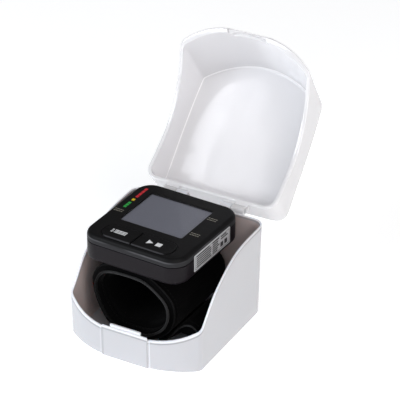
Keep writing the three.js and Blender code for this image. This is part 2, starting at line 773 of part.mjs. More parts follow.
function pressureSensor() {
  const top = boardBottomZ - gap;
  const half = sensorSide / 2;
  const body = block(valveX - half, valveX + half, manifoldY - half, manifoldY + half,
    top - sensorHeight, top);
  return joined(body, bar('z', manifoldZ0 + manifoldHeight + gap, top - sensorHeight / 2,
    valveX, manifoldY, nippleRadius, 10));
}

function buzzer() {
  const top = boardBottomZ - gap;
  return bar('z', top - buzzerHeight, top, buzzerX, buzzerY, buzzerRadius, 20);
}

function ratingLabel() {
  const top = monitorTop - labelBelowTop;
  return block(halfMonitor + gap, halfMonitor + gap + labelThickness,
    labelY - labelLength / 2, labelY + labelLength / 2, top - labelHeight, top);
}

function cuffSaddle() {
  const top = housingBottomZ - gap;
  const plate = solidOf(raised(roundedRectangle(-saddleWidth / 2, saddleWidth / 2,
    -saddleDepth / 2, saddleDepth / 2, monitorCorner / 2), top - saddleThickness, top, 4));
  return cut(plate, bar('z', top - saddleThickness - overrun, top + overrun,
    valveX, manifoldY, nippleRadius + gap, 10));
}

// The cuff's loop across the wrist as (x, z) points, drawn in from the outside by an
// inset: flat where it meets the saddle and the case's floor, and swelling between.
function cuffLoop(inset) {
  const count = 48;
  const halfWidth = cuffWidth / 2 - inset;
  const halfHeight = cuffHeight / 2 - inset;
  return Array.from({ length: count }, (_, i) => {
    const angle = 2 * Math.PI * i / count;
    const c = Math.cos(angle);
    const s = Math.sin(angle);
    const power = 2 / cuffCornerPower;
    const across = Math.sign(c) * Math.abs(c) ** power;
    const up = Math.sign(s) * Math.abs(s) ** power;
    const narrowing = cuffBulge * up * up + cuffTaper * Math.max(-up, 0) ** 1.5;
    return new THREE.Vector2(
      cuffX + across * (halfWidth - narrowing),
      cuffBottomZ + cuffHeight / 2 + up * halfHeight);
  });
}

// A ring of the cuff between two insets, from one y to another.
function cuffRing(outer, inner, y0, y1) {
  const shape = new THREE.Shape(cuffLoop(outer));
  shape.holes.push(new THREE.Path(cuffLoop(inner)));
  const geometry = new THREE.ExtrudeGeometry(shape, { depth: y1 - y0, bevelEnabled: false });
  geometry.applyMatrix4(new THREE.Matrix4().makeBasis(
    new THREE.Vector3(1, 0, 0), new THREE.Vector3(0, 0, 1), new THREE.Vector3(0, -1, 0)));
  geometry.translate(0, y1, 0);
  return solidOf(geometry);
}

const layerY0 = cuffFrontY + bindingDepth + gap;
const layerY1 = cuffFrontY + cuffLength - bindingDepth - gap;

function cuffLayer(depth, thickness) {
  return cuffRing(depth, depth + thickness, layerY0, layerY1);
}

function cuffBinding(y0) {
  return cuffRing(0, cuffLayers + bindingProud, y0, y0 + bindingDepth);
}

// The strap's free end: a band that leaves the cuff's foot and arches to the right.
function strapTail() {
  const x0 = cuffX + cuffWidth / 2;
  const room = halfCase - caseWall - monitorOffsetX - x0;
  const stops = tailShares.map(([roomShare, heightShare]) =>
    new THREE.Vector2(x0 + roomShare * room, cuffBottomZ + heightShare * cuffHeight));
  const middle = new THREE.SplineCurve(stops).getPoints(20);
  const side = (sign) => middle.map((point, i) => {
    const before = middle[Math.max(i - 1, 0)];
    const after = middle[Math.min(i + 1, middle.length - 1)];
    const along = after.clone().sub(before).normalize();
    return new THREE.Vector2(point.x - sign * along.y * tailThickness / 2,
      point.y + sign * along.x * tailThickness / 2);
  });
  const shape = new THREE.Shape([...side(1), ...side(-1).reverse()]);
  const y0 = cuffFrontY + tailFrontInset;
  const geometry = new THREE.ExtrudeGeometry(shape, { depth: tailLength, bevelEnabled: false });
  geometry.applyMatrix4(new THREE.Matrix4().makeBasis(
    new THREE.Vector3(1, 0, 0), new THREE.Vector3(0, 0, 1), new THREE.Vector3(0, -1, 0)));
  geometry.translate(0, y0 + tailLength, 0);
  return solidOf(geometry);
}

// Materials
function finish(color, roughness, metalness = 0, extra = {}) {
  return new THREE.MeshStandardMaterial({ color, roughness, metalness, ...extra });
}

const whitePlastic = finish('#eceef0', 0.22);
const steel = finish('#b9bcc0', 0.3, 1);
const blackPlastic = finish('#1b1b1d', 0.5);
const keyPlastic = finish('#222224', 0.55);
const clearPlastic = finish('#6f747c', 0.08, 0, { transparent: true, opacity: 0.4 });
const crystalPanel = finish('#70757f', 0.35);
const boardGreen = finish('#1d5a38', 0.5);
const brass = finish('#c8a24c', 0.35, 1);
const cellJacket = finish('#2f6f9f', 0.4);
const hosePlastic = finish('#d8d8d2', 0.6);
const darkPlastic = finish('#3a3b3e', 0.55);
const cuffFabric = finish('#131314', 0.95);
const cuffFilm = finish('#5b5f66', 0.6);
const paperLabel = finish('#d4d6d8', 0.5);

function piece(name, solid, material) {
  const mesh = new THREE.Mesh(geometryOf(solid), material);
  mesh.name = name;
  return mesh;
}

// The case
const wholeObject = new THREE.Group();
wholeObject.add(piece('case_base', caseBase(), whitePlastic));
wholeObject.add(piece('hinge_pin_left', hingePin(-1), steel));
wholeObject.add(piece('hinge_pin_right', hingePin(1), steel));

// The lid turns about the hinge axis: its own group stands there.
const lidGroup = new THREE.Group();
lidGroup.position.set(0, hingeY, hingeZ);
lidGroup.rotation.x = -lidOpening;
const lid = piece('case_lid', caseLid(), whitePlastic);
lid.position.set(0, -hingeY, -hingeZ);
lidGroup.add(lid);
wholeObject.add(lidGroup);

// The monitor and its cuff, turned a little as they stand in the case
const monitor = new THREE.Group();
monitor.position.set(monitorOffsetX, monitorOffsetY, 0);
monitor.rotation.z = monitorTurn;
const screws = housingScrews();
let layerDepth = 0;
const nextLayer = (thickness) => {
  const layer = cuffLayer(layerDepth, thickness);
  layerDepth += thickness + gap;
  return layer;
};
monitor.add(
  piece('top_cover', topCover(), blackPlastic),
  piece('lower_housing', lowerHousing(), blackPlastic),
  piece('memory_key', key(-1), keyPlastic),
  piece('start_key', key(1), keyPlastic),
  piece('memory_switch', keySwitch(-1), darkPlastic),
  piece('start_switch', keySwitch(1), darkPlastic),
  piece('display_window', displayWindow(), clearPlastic),
  piece('display_panel', displayPanel(), crystalPanel),
  piece('circuit_board', circuitBoard(), boardGreen),
  piece('battery_outer', cell(cellXs[0], -1), cellJacket),
  piece('battery_inner', cell(cellXs[1], 1), cellJacket),
  piece('front_contact', contactStrip(-1, cellXs[1]), brass),
  piece('rear_contact', contactStrip(1, cellXs[0]), brass),
  piece('battery_door', batteryDoor(), blackPlastic),
  piece('pump_motor', pumpMotor(), steel),
  piece('pump_head', pumpHead(), darkPlastic),
  piece('air_manifold', airManifold(), darkPlastic),
  piece('release_valve', releaseValve(), brass),
  piece('pressure_sensor', pressureSensor(), darkPlastic),
  piece('pump_hose', pumpHose(), hosePlastic),
  piece('valve_hose', valveHose(), hosePlastic),
  piece('buzzer', buzzer(), brass),
  piece('rating_label', ratingLabel(), paperLabel),
  ...screws.map((screw, i) => piece(`housing_screw_${i + 1}`, screw, steel)),
  piece('cuff_saddle', cuffSaddle(), darkPlastic),
  piece('cuff_sleeve', nextLayer(cuffSleeve), cuffFabric),
  piece('cuff_former', nextLayer(cuffFormer), cuffFilm),
  piece('cuff_bladder', nextLayer(cuffBladder), cuffFilm),
  piece('cuff_lining', nextLayer(cuffLining), cuffFabric),
  piece('front_binding', cuffBinding(cuffFrontY), cuffFabric),
  piece('rear_binding', cuffBinding(cuffFrontY + cuffLength - bindingDepth), cuffFabric),
  piece('strap_tail', strapTail(), cuffFabric),
);
wholeObject.add(monitor);

export default wholeObject;
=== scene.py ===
"""A wrist blood pressure monitor in its white flip-top storage case, as a Blender add-on.

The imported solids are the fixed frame: +Z up, the front of the case faces -Y, and the lid
stands open about its hinge at the rear. Every piece here is modelled in that frame.
"""

import json
import math
from functools import cache

import bmesh
import bpy
import numpy as np
from bpy.props import FloatProperty, FloatVectorProperty, PointerProperty
from bpy.types import Operator, Panel, PropertyGroup
from mathutils import Matrix, Vector, noise


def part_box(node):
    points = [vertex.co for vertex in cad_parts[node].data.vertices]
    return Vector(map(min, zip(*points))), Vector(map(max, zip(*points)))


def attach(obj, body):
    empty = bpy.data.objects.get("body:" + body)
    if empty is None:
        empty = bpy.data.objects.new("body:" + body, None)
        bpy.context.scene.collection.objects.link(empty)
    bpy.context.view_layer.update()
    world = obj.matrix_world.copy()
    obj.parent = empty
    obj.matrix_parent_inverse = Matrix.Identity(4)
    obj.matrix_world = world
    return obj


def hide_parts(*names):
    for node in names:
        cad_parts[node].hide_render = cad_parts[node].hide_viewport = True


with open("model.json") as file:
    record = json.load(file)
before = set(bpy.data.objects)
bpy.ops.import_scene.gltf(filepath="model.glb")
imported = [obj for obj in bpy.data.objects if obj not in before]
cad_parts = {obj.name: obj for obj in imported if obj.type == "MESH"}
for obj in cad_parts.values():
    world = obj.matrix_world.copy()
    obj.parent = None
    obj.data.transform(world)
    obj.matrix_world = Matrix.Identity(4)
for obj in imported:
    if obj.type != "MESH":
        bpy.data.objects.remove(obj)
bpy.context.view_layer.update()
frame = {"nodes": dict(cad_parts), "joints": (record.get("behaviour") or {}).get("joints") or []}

bl_info = {
    "name": "Wrist monitor in its flip-top case",
    "version": (1, 0, 0),
    "blender": (4, 5, 0),
    "location": "View3D > Sidebar > Wrist monitor",
    "description": "Builds the case, lid, monitor, keys, display and cuff around the frame",
    "category": "Object",
}

MM = 0.001
CREASE = math.radians(38)
JOINTS = {joint["name"]: joint for joint in frame["joints"]}
LID_JOINT = JOINTS["lid_hinge"]
HINGE = Vector(LID_JOINT["pos_m"])
LID_OPENING = math.radians(-LID_JOINT["range_deg"][0])


def length(name, size, about):
    """A property that holds one length, given in millimetres."""
    return FloatProperty(name=name, description=about, default=size * MM, unit="LENGTH")


def angle(name, degrees, about):
    """A property that holds one angle, given in degrees."""
    return FloatProperty(
        name=name, description=about, default=math.radians(degrees), unit="ROTATION")


def colour(name, red, green, blue, about):
    """A property that holds one linear colour."""
    return FloatVectorProperty(name=name, description=about, size=3, subtype="COLOR",
                               min=0, max=1, default=(red, green, blue))


class CaseSizes(PropertyGroup):
    """Sizes of the case's tub."""
    half_width: length("Half width", 45, "Half the width of the case at its foot")
    front_reach: length("Front reach", 46.2, "From the middle of the foot to the front panel")
    rear_reach: length("Rear reach", 46.5, "From the middle of the foot to the rear wall")
    wall: length("Wall", 2, "Thickness of the walls")
    floor: length("Floor", 2.2, "Thickness of the bottom")
    rear_corner: length("Rear corner", 8, "Radius of the upright rear corners")
    front_corner: length("Front corner", 5, "Radius of the upright front corners")
    panel_width: length("Panel width", 32, "Width of the flat front panel")
    panel_step: length("Panel step", 0.9, "How far the panel stands proud")
    panel_rise: length("Panel rise", 1.9, "How much higher the panel is than the rim beside it")
    bow_radius: length("Bow radius", 57, "Radius of the curved stretches beside the panel")
    bow_offset: length("Bow offset", 9, "Their centres, sideways from the middle")
    flare: angle("Flare", 1, "How far the walls lean out")
    front_rim: length("Front rim", 19.6, "Height of the rim at the front")
    rear_rim: length("Rear rim", 62.8, "Height of the rim at the rear")
    foot_round: length("Foot round", 1.1, "Radius of the outer edge of the bottom")
    floor_round: length("Floor round", 2.4, "Radius between the walls and the floor")
    rim_wall: length("Rim wall", 1.2, "Thickness of the walls at the rim")
    bead: length("Bead", 1.35, "Height of the bead along the rim")
    bead_groove: length("Bead groove", 0.6, "Height of the groove under the bead")
    rim_round: length("Rim round", 0.42, "Radius of the rim's two edges")
    step_round: length("Step round", 0.45, "Radius of the two upright steps")
    tab_width: length("Tab width", 21, "Width of the catch tab")
    tab_thickness: length("Tab thickness", 1.4, "Thickness of the catch tab")
    tab_rise: length("Tab rise", 2, "How far the tab stands above the rim")
    tab_root: length("Tab root", 3, "How far the tab runs down inside the wall")
    tab_bite: length("Tab bite", 1.2, "How far the tab reaches into the wall")
    lug_inner: length("Lug start", 11.4, "Inner face of either hinge lug")
    lug_length: length("Lug length", 8, "Length of either hinge lug")
    eye_radius: length("Eye radius", 2.6, "Radius of the hinge eyes")
    pin_radius: length("Pin radius", 1.2, "Radius of the hinge pins")
    arm: length("Arm", 3, "Thickness of the hinge arms")
    clearance: length("Clearance", 0.3, "Gap between pieces that meet")


class LidSizes(PropertyGroup):
    """Sizes of the lid, as it stands closed."""
    front_height: length("Front height", 69, "Top of the lid above the foot, at the front")
    rear_height: length("Rear height", 87, "Top of the lid above the foot, at the rear")
    crown: length("Crown", 1, "How much higher the top is along its middle")
    inner_crown: length("Inner crown", 0.25, "The same inside, where the top is flatter")
    roof: length("Roof", 1.7, "Thickness of the top")
    rear_radius: length("Rear radius", 12, "Radius between the top and the rear wall")
    inner_bow: length("Inner bow", 76, "Radius of the front wall's inner face")
    edge_round: length("Edge round", 2, "Radius between the top and the side walls")
    rear_edge_round: length("Rear edge round", 0.3, "The same radius at the rear")
    hollow_round: length("Hollow round", 1.1, "Radius inside, between the top and the walls")
    draft: angle("Draft", 3, "How far the walls narrow upwards from the rim")
    lean: angle("Lean", 3, "How far the front leans out in its middle")
    tuck: length("Tuck", 0.9, "How far the inner side walls draw in towards the top")
    rim_round: length("Rim round", 0.8, "Radius of the rim's outer edge")
    ripple: length("Ripple", 0.04, "How uneven the moulded top is inside")
    ripple_run: length("Ripple run", 14, "Breadth of those waves")
    knuckle_length: length("Knuckle length", 9, "Length of either hinge knuckle")


class MonitorSizes(PropertyGroup):
    """Sizes of the monitor's housing, in its own upright frame."""
    place_x: length("Place across", -4.5, "Middle of the monitor in the case")
    place_y: length("Place along", 7.3, "Middle of the monitor in the case")
    turn: angle("Turn", -2.5, "How far the monitor is turned in the case")
    half_x: length("Half width", 35, "Half the width of the housing")
    half_y: length("Half depth", 36.5, "Half the depth of the housing")
    corner: length("Corner", 11, "Radius of the upright corners")
    top: length("Top", 69.4, "Height of the top face")
    seam: length("Seam", 63.8, "Underside of the cover, at the seam")
    underside: length("Underside", 51.6, "Underside of the lower housing")
    top_round: length("Top round", 2.4, "How far in the cover's upper edge rounds")
    top_fall: length("Top fall", 3.4, "How far down the cover's upper edge rounds")
    foot_round: length("Foot round", 2.4, "Radius of the lower housing's bottom edge")
    seam_round: length("Seam round", 0.4, "Chamfer on both sides of the seam")
    wall: length("Wall", 1.6, "Thickness of the walls")
    roof: length("Roof", 1.7, "Thickness of the cover's top")
    door_depth: length("Door depth", 1.3, "How deep the battery door reaches in")
    door_rear: length("Door rear", 26, "Rear end of the battery door")
    door_low: length("Door foot", 53.6, "Bottom of the battery door")
    door_high: length("Door top", 62.2, "Top of the battery door")
    screw_inset: length("Screw inset", 5.8, "Screws from the housing's sides")
    rib_start: length("Rib start", 7, "First rib of the battery door from its rear end")
    rib_width: length("Rib width", 0.9, "Width of the door's ribs")
    rib_pitch: length("Rib pitch", 2.1, "From one rib of the door to the next")
    rib_margin: length("Rib margin", 2, "The ribs' ends from the door's edges")


class DisplaySizes(PropertyGroup):
    """Sizes of the display's opening."""
    left: length("Left", -23.2, "Left edge of the opening")
    right: length("Right", 20.9, "Right edge of the opening")
    front: length("Front", -11.1, "Front edge of the opening")
    rear: length("Rear", 25.6, "Rear edge of the opening")
    corner: length("Corner", 1.2, "Radius of the opening's corners")
    edge_round: length("Edge round", 0.5, "Soft edge round the opening")
    glass_drop: length("Glass drop", 0.35, "The glass below the top face")
    glass: length("Glass", 0.5, "Thickness of the glass")
    screen_drop: length("Screen drop", 1, "The liquid crystal panel below the top face")


class KeySizes(PropertyGroup):
    """Sizes of the two keys."""
    x: length("Middle across", 0.2, "Middle of the key row")
    y: length("Middle along", -25.4, "Middle of the key row")
    half_x: length("Half width", 24.8, "Half the width of the key row")
    half_y: length("Half depth", 7.5, "Half the depth of the key row")
    corner: length("Corner", 6.5, "Radius of the row's corners")
    split: length("Split", -1.7, "Middle of the groove between the keys")
    groove: length("Groove", 0.9, "Width of the groove")
    front_rise: length("Front rise", 0.4, "How far a key's front edge stands proud")
    rear_rise: length("Rear rise", 0.05, "How far a key's rear edge stands proud")
    thickness: length("Thickness", 1.3, "Thickness of a key")
    edge_round: length("Edge round", 0.35, "Radius of a key's upper edge")
    print_thickness: length("Print thickness", 0.03, "Thickness of printed marks")
    memory_sign: length("Memory sign", -14.4, "Middle of the memory key's sign")
    start_sign: length("Start sign", 10.4, "Middle of the start key's signs")


class LabelSizes(PropertyGroup):
    """Sizes of the rating label on the monitor's right flank."""
    back: length("Back", 35.02, "The paper's back, just off the housing")
    face: length("Face", 35.4, "The paper's face")
    front: length("Front", -19.7, "Front end")
    rear: length("Rear", 21.3, "Rear end")
    low: length("Low", 54.8, "Lower edge")
    high: length("High", 65.8, "Upper edge")
    corner: length("Corner", 0.6, "Radius of the corners")
    border: length("Border", 0.3, "Width of the printed frame's lines")
    inset: length("Inset", 0.9, "The printed frame from the paper's edge")
    ink_depth: length("Ink depth", 0.02, "How far the ink stands off the paper")
    square: length("Square", 3.2, "Side of the printed squares")
    square_pitch: length("Square pitch", 4.6, "From one printed square to the next")


class CuffSizes(PropertyGroup):
    """Sizes of the cuff, in the monitor's frame."""
    x: length("Middle", -2, "Middle of the loop")
    half_width: length("Half width", 30, "Half the width of the loop")
    low: length("Low", 2.5, "Lowest point of the loop")
    high: length("High", 49.6, "Highest point of the loop")
    front: length("Front", -32.5, "Front edge")
    rear: length("Rear", 31.5, "Rear edge")
    bulge: length("Bulge", 3, "How far the flanks swell past the top and the foot")
    taper: length("Taper", 5, "How far the right flank draws in towards the foot")
    left_taper: length("Left taper", 5.5, "The same on the left, from higher up")
    foot_square: FloatProperty(name="Foot squareness", default=2.4,
                               description="How much squarer the lower left is")
    squareness: FloatProperty(name="Squareness", default=2.9,
                              description="2 is an ellipse, and more is squarer")
    skew: FloatProperty(name="Skew", default=1.5,
                        description="How much squarer the upper left is than the upper right")
    wall: length("Wall", 5.6, "Thickness of the padded wall")
    piping: length("Piping", 0.8, "Radius of the piping")
    roll: length("Roll", 0.55, "Radius of the rolled edge behind the piping")
    pucker: length("Pucker", 1.1, "How deep the cloth puckers")
    stitch_pitch: length("Stitch pitch", 2.5, "From one stitch to the next")
    stitch: length("Stitch", 1.8, "Length of a stitch")
    tail_front: length("Tail front", -24.5, "Front edge of the strap's free end")
    tail_width: length("Tail width", 48, "Width of the strap")
    tail_room: length("Tail room", 19.5, "Room beside the cuff that the strap crosses")
    tail_thickness: length("Tail thickness", 2.2, "Thickness of the strap")
    outer_seam: length("Outer seam", 6, "Outer stitches from the cuff's front")
    inner_seam: length("Inner seam", 4.6, "Inner stitches from the cuff's front")
    rear_seam: length("Rear seam", 4.5, "Rear stitches from the cuff's rear")
    strap_seam: length("Strap seam", 3, "Stitches from the strap's edges")
    stitch_thickness: length("Stitch thickness", 0.45, "Thickness of the stitches")


class Finishes(PropertyGroup):
    """Colours of the main finishes."""
    tub: colour("Tub", 0.525, 0.53, 0.56, "The tub's glossy plastic")
    lid: colour("Lid", 0.75, 0.745, 0.765, "The lid's thinner and milkier plastic")
    black: colour("Black", 0.0064, 0.0064, 0.0070, "The housing's textured plastic")
    flank: colour("Flank", 0.0070, 0.0052, 0.0074, "The lower housing")
    key: colour("Key", 0.0064, 0.0064, 0.0070, "The keys")
    screen: colour("Screen", 0.255, 0.265, 0.325, "The liquid crystal panel")
    fabric: colour("Fabric", 0.0012, 0.0012, 0.0014, "The cuff's cloth")
    piping: colour("Piping", 0.017, 0.017, 0.0178, "The cuff's piping")
    paper: colour("Paper", 0.57, 0.58, 0.60, "The rating label")
    green: colour("Green", 0.02, 0.42, 0.06, "The level bar's low part")
    yellow: colour("Yellow", 0.80, 0.55, 0.01, "The level bar's middle part")
    red: colour("Red", 0.62, 0.015, 0.025, "The level bar's high part")


class StageSizes(PropertyGroup):
    """The camera and the lights."""
    azimuth: angle("Azimuth", 28.78, "Camera, round from the front towards the right")
    elevation: angle("Elevation", 30.24, "Camera above the horizon")
    roll: angle("Roll", 0.17, "Camera's roll")
    distance: length("Distance", 1406.66, "From the aim to the camera")
    aim_x: length("Aim across", -20.57, "What the camera looks at")
    aim_y: length("Aim along", 84.5, "What the camera looks at")
    aim_z: length("Aim up", 40, "What the camera looks at")
    lens: FloatProperty(name="Lens", description="Focal length in mm on a 36 mm sensor",
                        default=198)
    floor_size: length("Floor", 6000, "Side of the floor")


GROUPS = {"case": CaseSizes, "lid": LidSizes, "monitor": MonitorSizes, "display": DisplaySizes,
          "keys": KeySizes, "label": LabelSizes, "cuff": CuffSizes, "finishes": Finishes,
          "stage": StageSizes}


def sizes(name):
    """One of the scene's property groups."""
    return getattr(bpy.context.scene, "wrist_monitor_" + name)


# Meshes

def loft(rings, cyclic=False):
    """Points and faces of a closed skin over rings that have equally many points."""
    count = len(rings[0])
    points = [point for ring in rings for point in ring]
    faces = []
    for k in range(len(rings) if cyclic else len(rings) - 1):
        a = k * count
        b = (k + 1) % len(rings) * count
        faces += [(a + i, a + (i + 1) % count, b + (i + 1) % count, b + i) for i in range(count)]
    if not cyclic:
        for start in (0, (len(rings) - 1) * count):
            ring = points[start:start + count]
            points.append(tuple(sum(axis) / count for axis in zip(*ring)))
            middle = len(points) - 1
            faces += [(start + i, start + (i + 1) % count, middle) for i in range(count)]
    return points, faces


def new_piece(name, parts, material, place=None):
    """An object made of closed parts, its faces pointing out, smooth but for sharp edges."""
    bm = bmesh.new()
    for points, faces in parts:
        verts = [bm.verts.new(point) for point in points]
        for face in faces:
            bm.faces.new([verts[i] for i in face])
    return piece_from(name, bm, material, place)


def piece_from(name, bm, material, place=None):
    """The same from a bmesh that is already filled."""
    bmesh.ops.remove_doubles(bm, verts=bm.verts, dist=MM / 1000)
    bmesh.ops.recalc_face_normals(bm, faces=bm.faces)
    mesh = bpy.data.meshes.new(name)
    bm.to_mesh(mesh)
    bm.free()
    if place is not None:
        mesh.transform(place)
    mesh.materials.append(material)
    obj = bpy.data.objects.new(name, mesh)
    bpy.context.scene.collection.objects.link(obj)
    smooth(obj)
    return obj


def smooth(obj, crease=CREASE):
    """Smooth shading with sharp edges past an angle."""
    obj.data.shade_smooth()
    obj.data.set_sharp_from_angle(angle=crease)


def settle(obj, body, slot, *nodes):
    """Puts a finished piece on its body and hides the nodes that it stands for; the slot is not
    used.
    """
    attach(obj, body)
    if nodes:
        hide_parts(*nodes)
    return obj


def baked(obj):
    """Turns what an object's modifiers make into its plain mesh."""
    bpy.context.view_layer.update()
    evaluated = obj.evaluated_get(bpy.context.evaluated_depsgraph_get())
    mesh = bpy.data.meshes.new_from_object(evaluated)
    obj.modifiers.clear()
    obj.data = mesh
    return obj


def carved(obj, tools, operation="DIFFERENCE"):
    """Cuts tool pieces out of a piece, joins them to it, or keeps what lies inside them."""
    for tool in tools:
        modifier = obj.modifiers.new("Cut", "BOOLEAN")
        modifier.operation = operation
        modifier.solver = "EXACT"
        modifier.object = tool
    baked(obj)
    for tool in tools:
        bpy.data.objects.remove(tool)
    smooth(obj)
    return obj


def dress(material, *nodes):
    """Gives a finish to nodes that show as they are."""
    for name in nodes:
        slots = frame["nodes"][name].data.materials
        slots.clear()
        slots.append(material)


def arc(x, y, radius, start, end, count):
    """Points along a circle's arc."""
    return [(x + radius * math.cos(start + (end - start) * i / count),
             y + radius * math.sin(start + (end - start) * i / count)) for i in range(count + 1)]


def quarter(count):
    """Shares (inwards, upwards) of a quarter round, from its foot to its top."""
    turns = [math.pi / 2 * i / count for i in range(count + 1)]
    return [(1 - math.cos(turn), math.sin(turn)) for turn in turns]


def soft_box(x0, x1, y0, y1, z0, z1, edge):
    """A closed box with chamfered edges, as rings round its Z axis."""
    def ring(inset, z):
        c = edge
        return [(x0 + inset, y0 + inset + c, z), (x0 + inset + c, y0 + inset, z),
                (x1 - inset - c, y0 + inset, z), (x1 - inset, y0 + inset + c, z),
                (x1 - inset, y1 - inset - c, z), (x1 - inset - c, y1 - inset, z),
                (x0 + inset + c, y1 - inset, z), (x0 + inset, y1 - inset - c, z)]
    half = edge / 2
    return loft([ring(edge, z0), ring(half / 2, z0 + half / 2), ring(0, z0 + edge),
                 ring(0, z1 - edge), ring(half / 2, z1 - half / 2), ring(edge, z1)])


def round_rectangle(x0, x1, y0, y1, radius, per_corner=8, per_side=4):
    """A rectangle with round corners as points (x, y), with stops along its sides."""
    corners = [(x1 - radius, y0 + radius, -0.5), (x1 - radius, y1 - radius, 0),
               (x0 + radius, y1 - radius, 0.5), (x0 + radius, y0 + radius, 1)]
    points = []
    for x, y, start in corners:
        points += arc(x, y, radius, start * math.pi, (start + 0.5) * math.pi, per_corner)
    stops = []
    for i, point in enumerate(points):
        stops.append(point)
        if (i + 1) % (per_corner + 1) == 0:
            after = points[(i + 1) % len(points)]
            stops += [(point[0] + (after[0] - point[0]) * k / per_side,
                       point[1] + (after[1] - point[1]) * k / per_side)
                      for k in range(1, per_side)]
    return stops


# Node trees

def start_tree(name, kinds):
    """A geometry tree with a geometry input, and further inputs of the given kinds."""
    tree = bpy.data.node_groups.new(name, "GeometryNodeTree")
    tree.interface.new_socket("Geometry", in_out="INPUT", socket_type="NodeSocketGeometry")
    for socket, kind in kinds.items():
        tree.interface.new_socket(socket, in_out="INPUT", socket_type="NodeSocket" + kind)
    tree.interface.new_socket("Geometry", in_out="OUTPUT", socket_type="NodeSocketGeometry")
    return tree, tree.nodes.new("NodeGroupInput").outputs


def step(tree, kind, sockets=None, **settings):
    """Adds a node with its settings, and sets or links its inputs."""
    made = tree.nodes.new(kind)
    for key, value in settings.items():
        setattr(made, key, value)
    for name, value in (sockets or {}).items():
        if isinstance(value, bpy.types.NodeSocket):
            tree.links.new(value, made.inputs[name])
        else:
            made.inputs[name].default_value = value
    return made


def put(tree, kind, sockets=None, **settings):
    """Adds one of the nodes that shader and geometry trees share, or a shader."""
    return step(tree, "ShaderNode" + kind, sockets, **settings)


def counted(tree, operation, first, second):
    """Two values put together by one of the Math node's operations."""
    return put(tree, "Math", {0: first, 1: second}, operation=operation).outputs[0]


def end_tree(tree, shape, material):
    """Makes a tree's instances real, sets their material and ends the tree."""
    real = step(tree, "GeometryNodeRealizeInstances", {"Geometry": shape})
    dressed = step(tree, "GeometryNodeSetMaterial",
                   {"Geometry": real.outputs["Geometry"], "Material": material})
    out = tree.nodes.new("NodeGroupOutput")
    tree.links.new(dressed.outputs["Geometry"], out.inputs["Geometry"])
    return tree


@cache
def cord_tree():
    """Sweeps a round cord along a loop of edges."""
    tree, given = start_tree("Cord along a loop", {
        "Radius": "Float", "Sides": "Int", "Material": "Material"})
    path = step(tree, "GeometryNodeMeshToCurve", {"Mesh": given["Geometry"]})
    profile = step(tree, "GeometryNodeCurvePrimitiveCircle",
                   {"Resolution": given["Sides"], "Radius": given["Radius"]})
    cord = step(tree, "GeometryNodeCurveToMesh",
                {"Curve": path.outputs["Curve"], "Profile Curve": profile.outputs["Curve"],
                 "Fill Caps": True})
    return end_tree(tree, cord.outputs["Mesh"], given["Material"])


@cache
def stitch_tree():
    """Sets stitches end to end along a line of edges."""
    tree, given = start_tree("Stitches along a line", {
        "Pitch": "Float", "Length": "Float", "Thickness": "Float", "Material": "Material"})
    path = step(tree, "GeometryNodeMeshToCurve", {"Mesh": given["Geometry"]})
    stops = step(tree, "GeometryNodeResampleCurve",
                 {"Curve": path.outputs["Curve"], "Length": given["Pitch"]}, mode="LENGTH")
    bead = step(tree, "GeometryNodeMeshUVSphere", {"Segments": 6, "Rings": 5, "Radius": 0.5})
    size = put(tree, "CombineXYZ",
               {"X": given["Length"], "Y": given["Thickness"], "Z": given["Thickness"]})
    stitch = step(tree, "GeometryNodeTransform",
                  {"Geometry": bead.outputs["Mesh"], "Scale": size.outputs["Vector"]})
    along = step(tree, "GeometryNodeInputTangent")
    turn = step(tree, "FunctionNodeAlignRotationToVector", {"Vector": along.outputs["Tangent"]},
                axis="X")
    row = step(tree, "GeometryNodeInstanceOnPoints",
               {"Points": stops.outputs["Curve"], "Instance": stitch.outputs["Geometry"],
                "Rotation": turn.outputs["Rotation"]})
    return end_tree(tree, row.outputs["Instances"], given["Material"])


@cache
def row_tree():
    """Repeats one shape in a straight row."""
    tree, given = start_tree("Row of one shape", {
        "Count": "Int", "Step": "Vector", "Material": "Material"})
    line = step(tree, "GeometryNodeMeshLine", {"Count": given["Count"], "Offset": given["Step"]},
                mode="OFFSET")
    row = step(tree, "GeometryNodeInstanceOnPoints",
               {"Points": line.outputs["Mesh"], "Instance": given["Geometry"]})
    return end_tree(tree, row.outputs["Instances"], given["Material"])


@cache
def corners_tree():
    """Sets one shape at the four corners of a rectangle, each turned at random."""
    tree, given = start_tree("Shape at four corners", {
        "Spread X": "Float", "Spread Y": "Float", "Seed": "Int", "Material": "Material"})
    grid = step(tree, "GeometryNodeMeshGrid",
                {"Size X": given["Spread X"], "Size Y": given["Spread Y"],
                 "Vertices X": 2, "Vertices Y": 2})
    chance = step(tree, "FunctionNodeRandomValue", {"Seed": given["Seed"]}, data_type="FLOAT")
    turn = put(tree, "CombineXYZ", {"Z": counted(tree, "MULTIPLY", chance.outputs[1], math.pi)})
    placed = step(tree, "GeometryNodeInstanceOnPoints",
                  {"Points": grid.outputs["Mesh"], "Instance": given["Geometry"],
                   "Rotation": turn.outputs["Vector"]})
    return end_tree(tree, placed.outputs["Instances"], given["Material"])


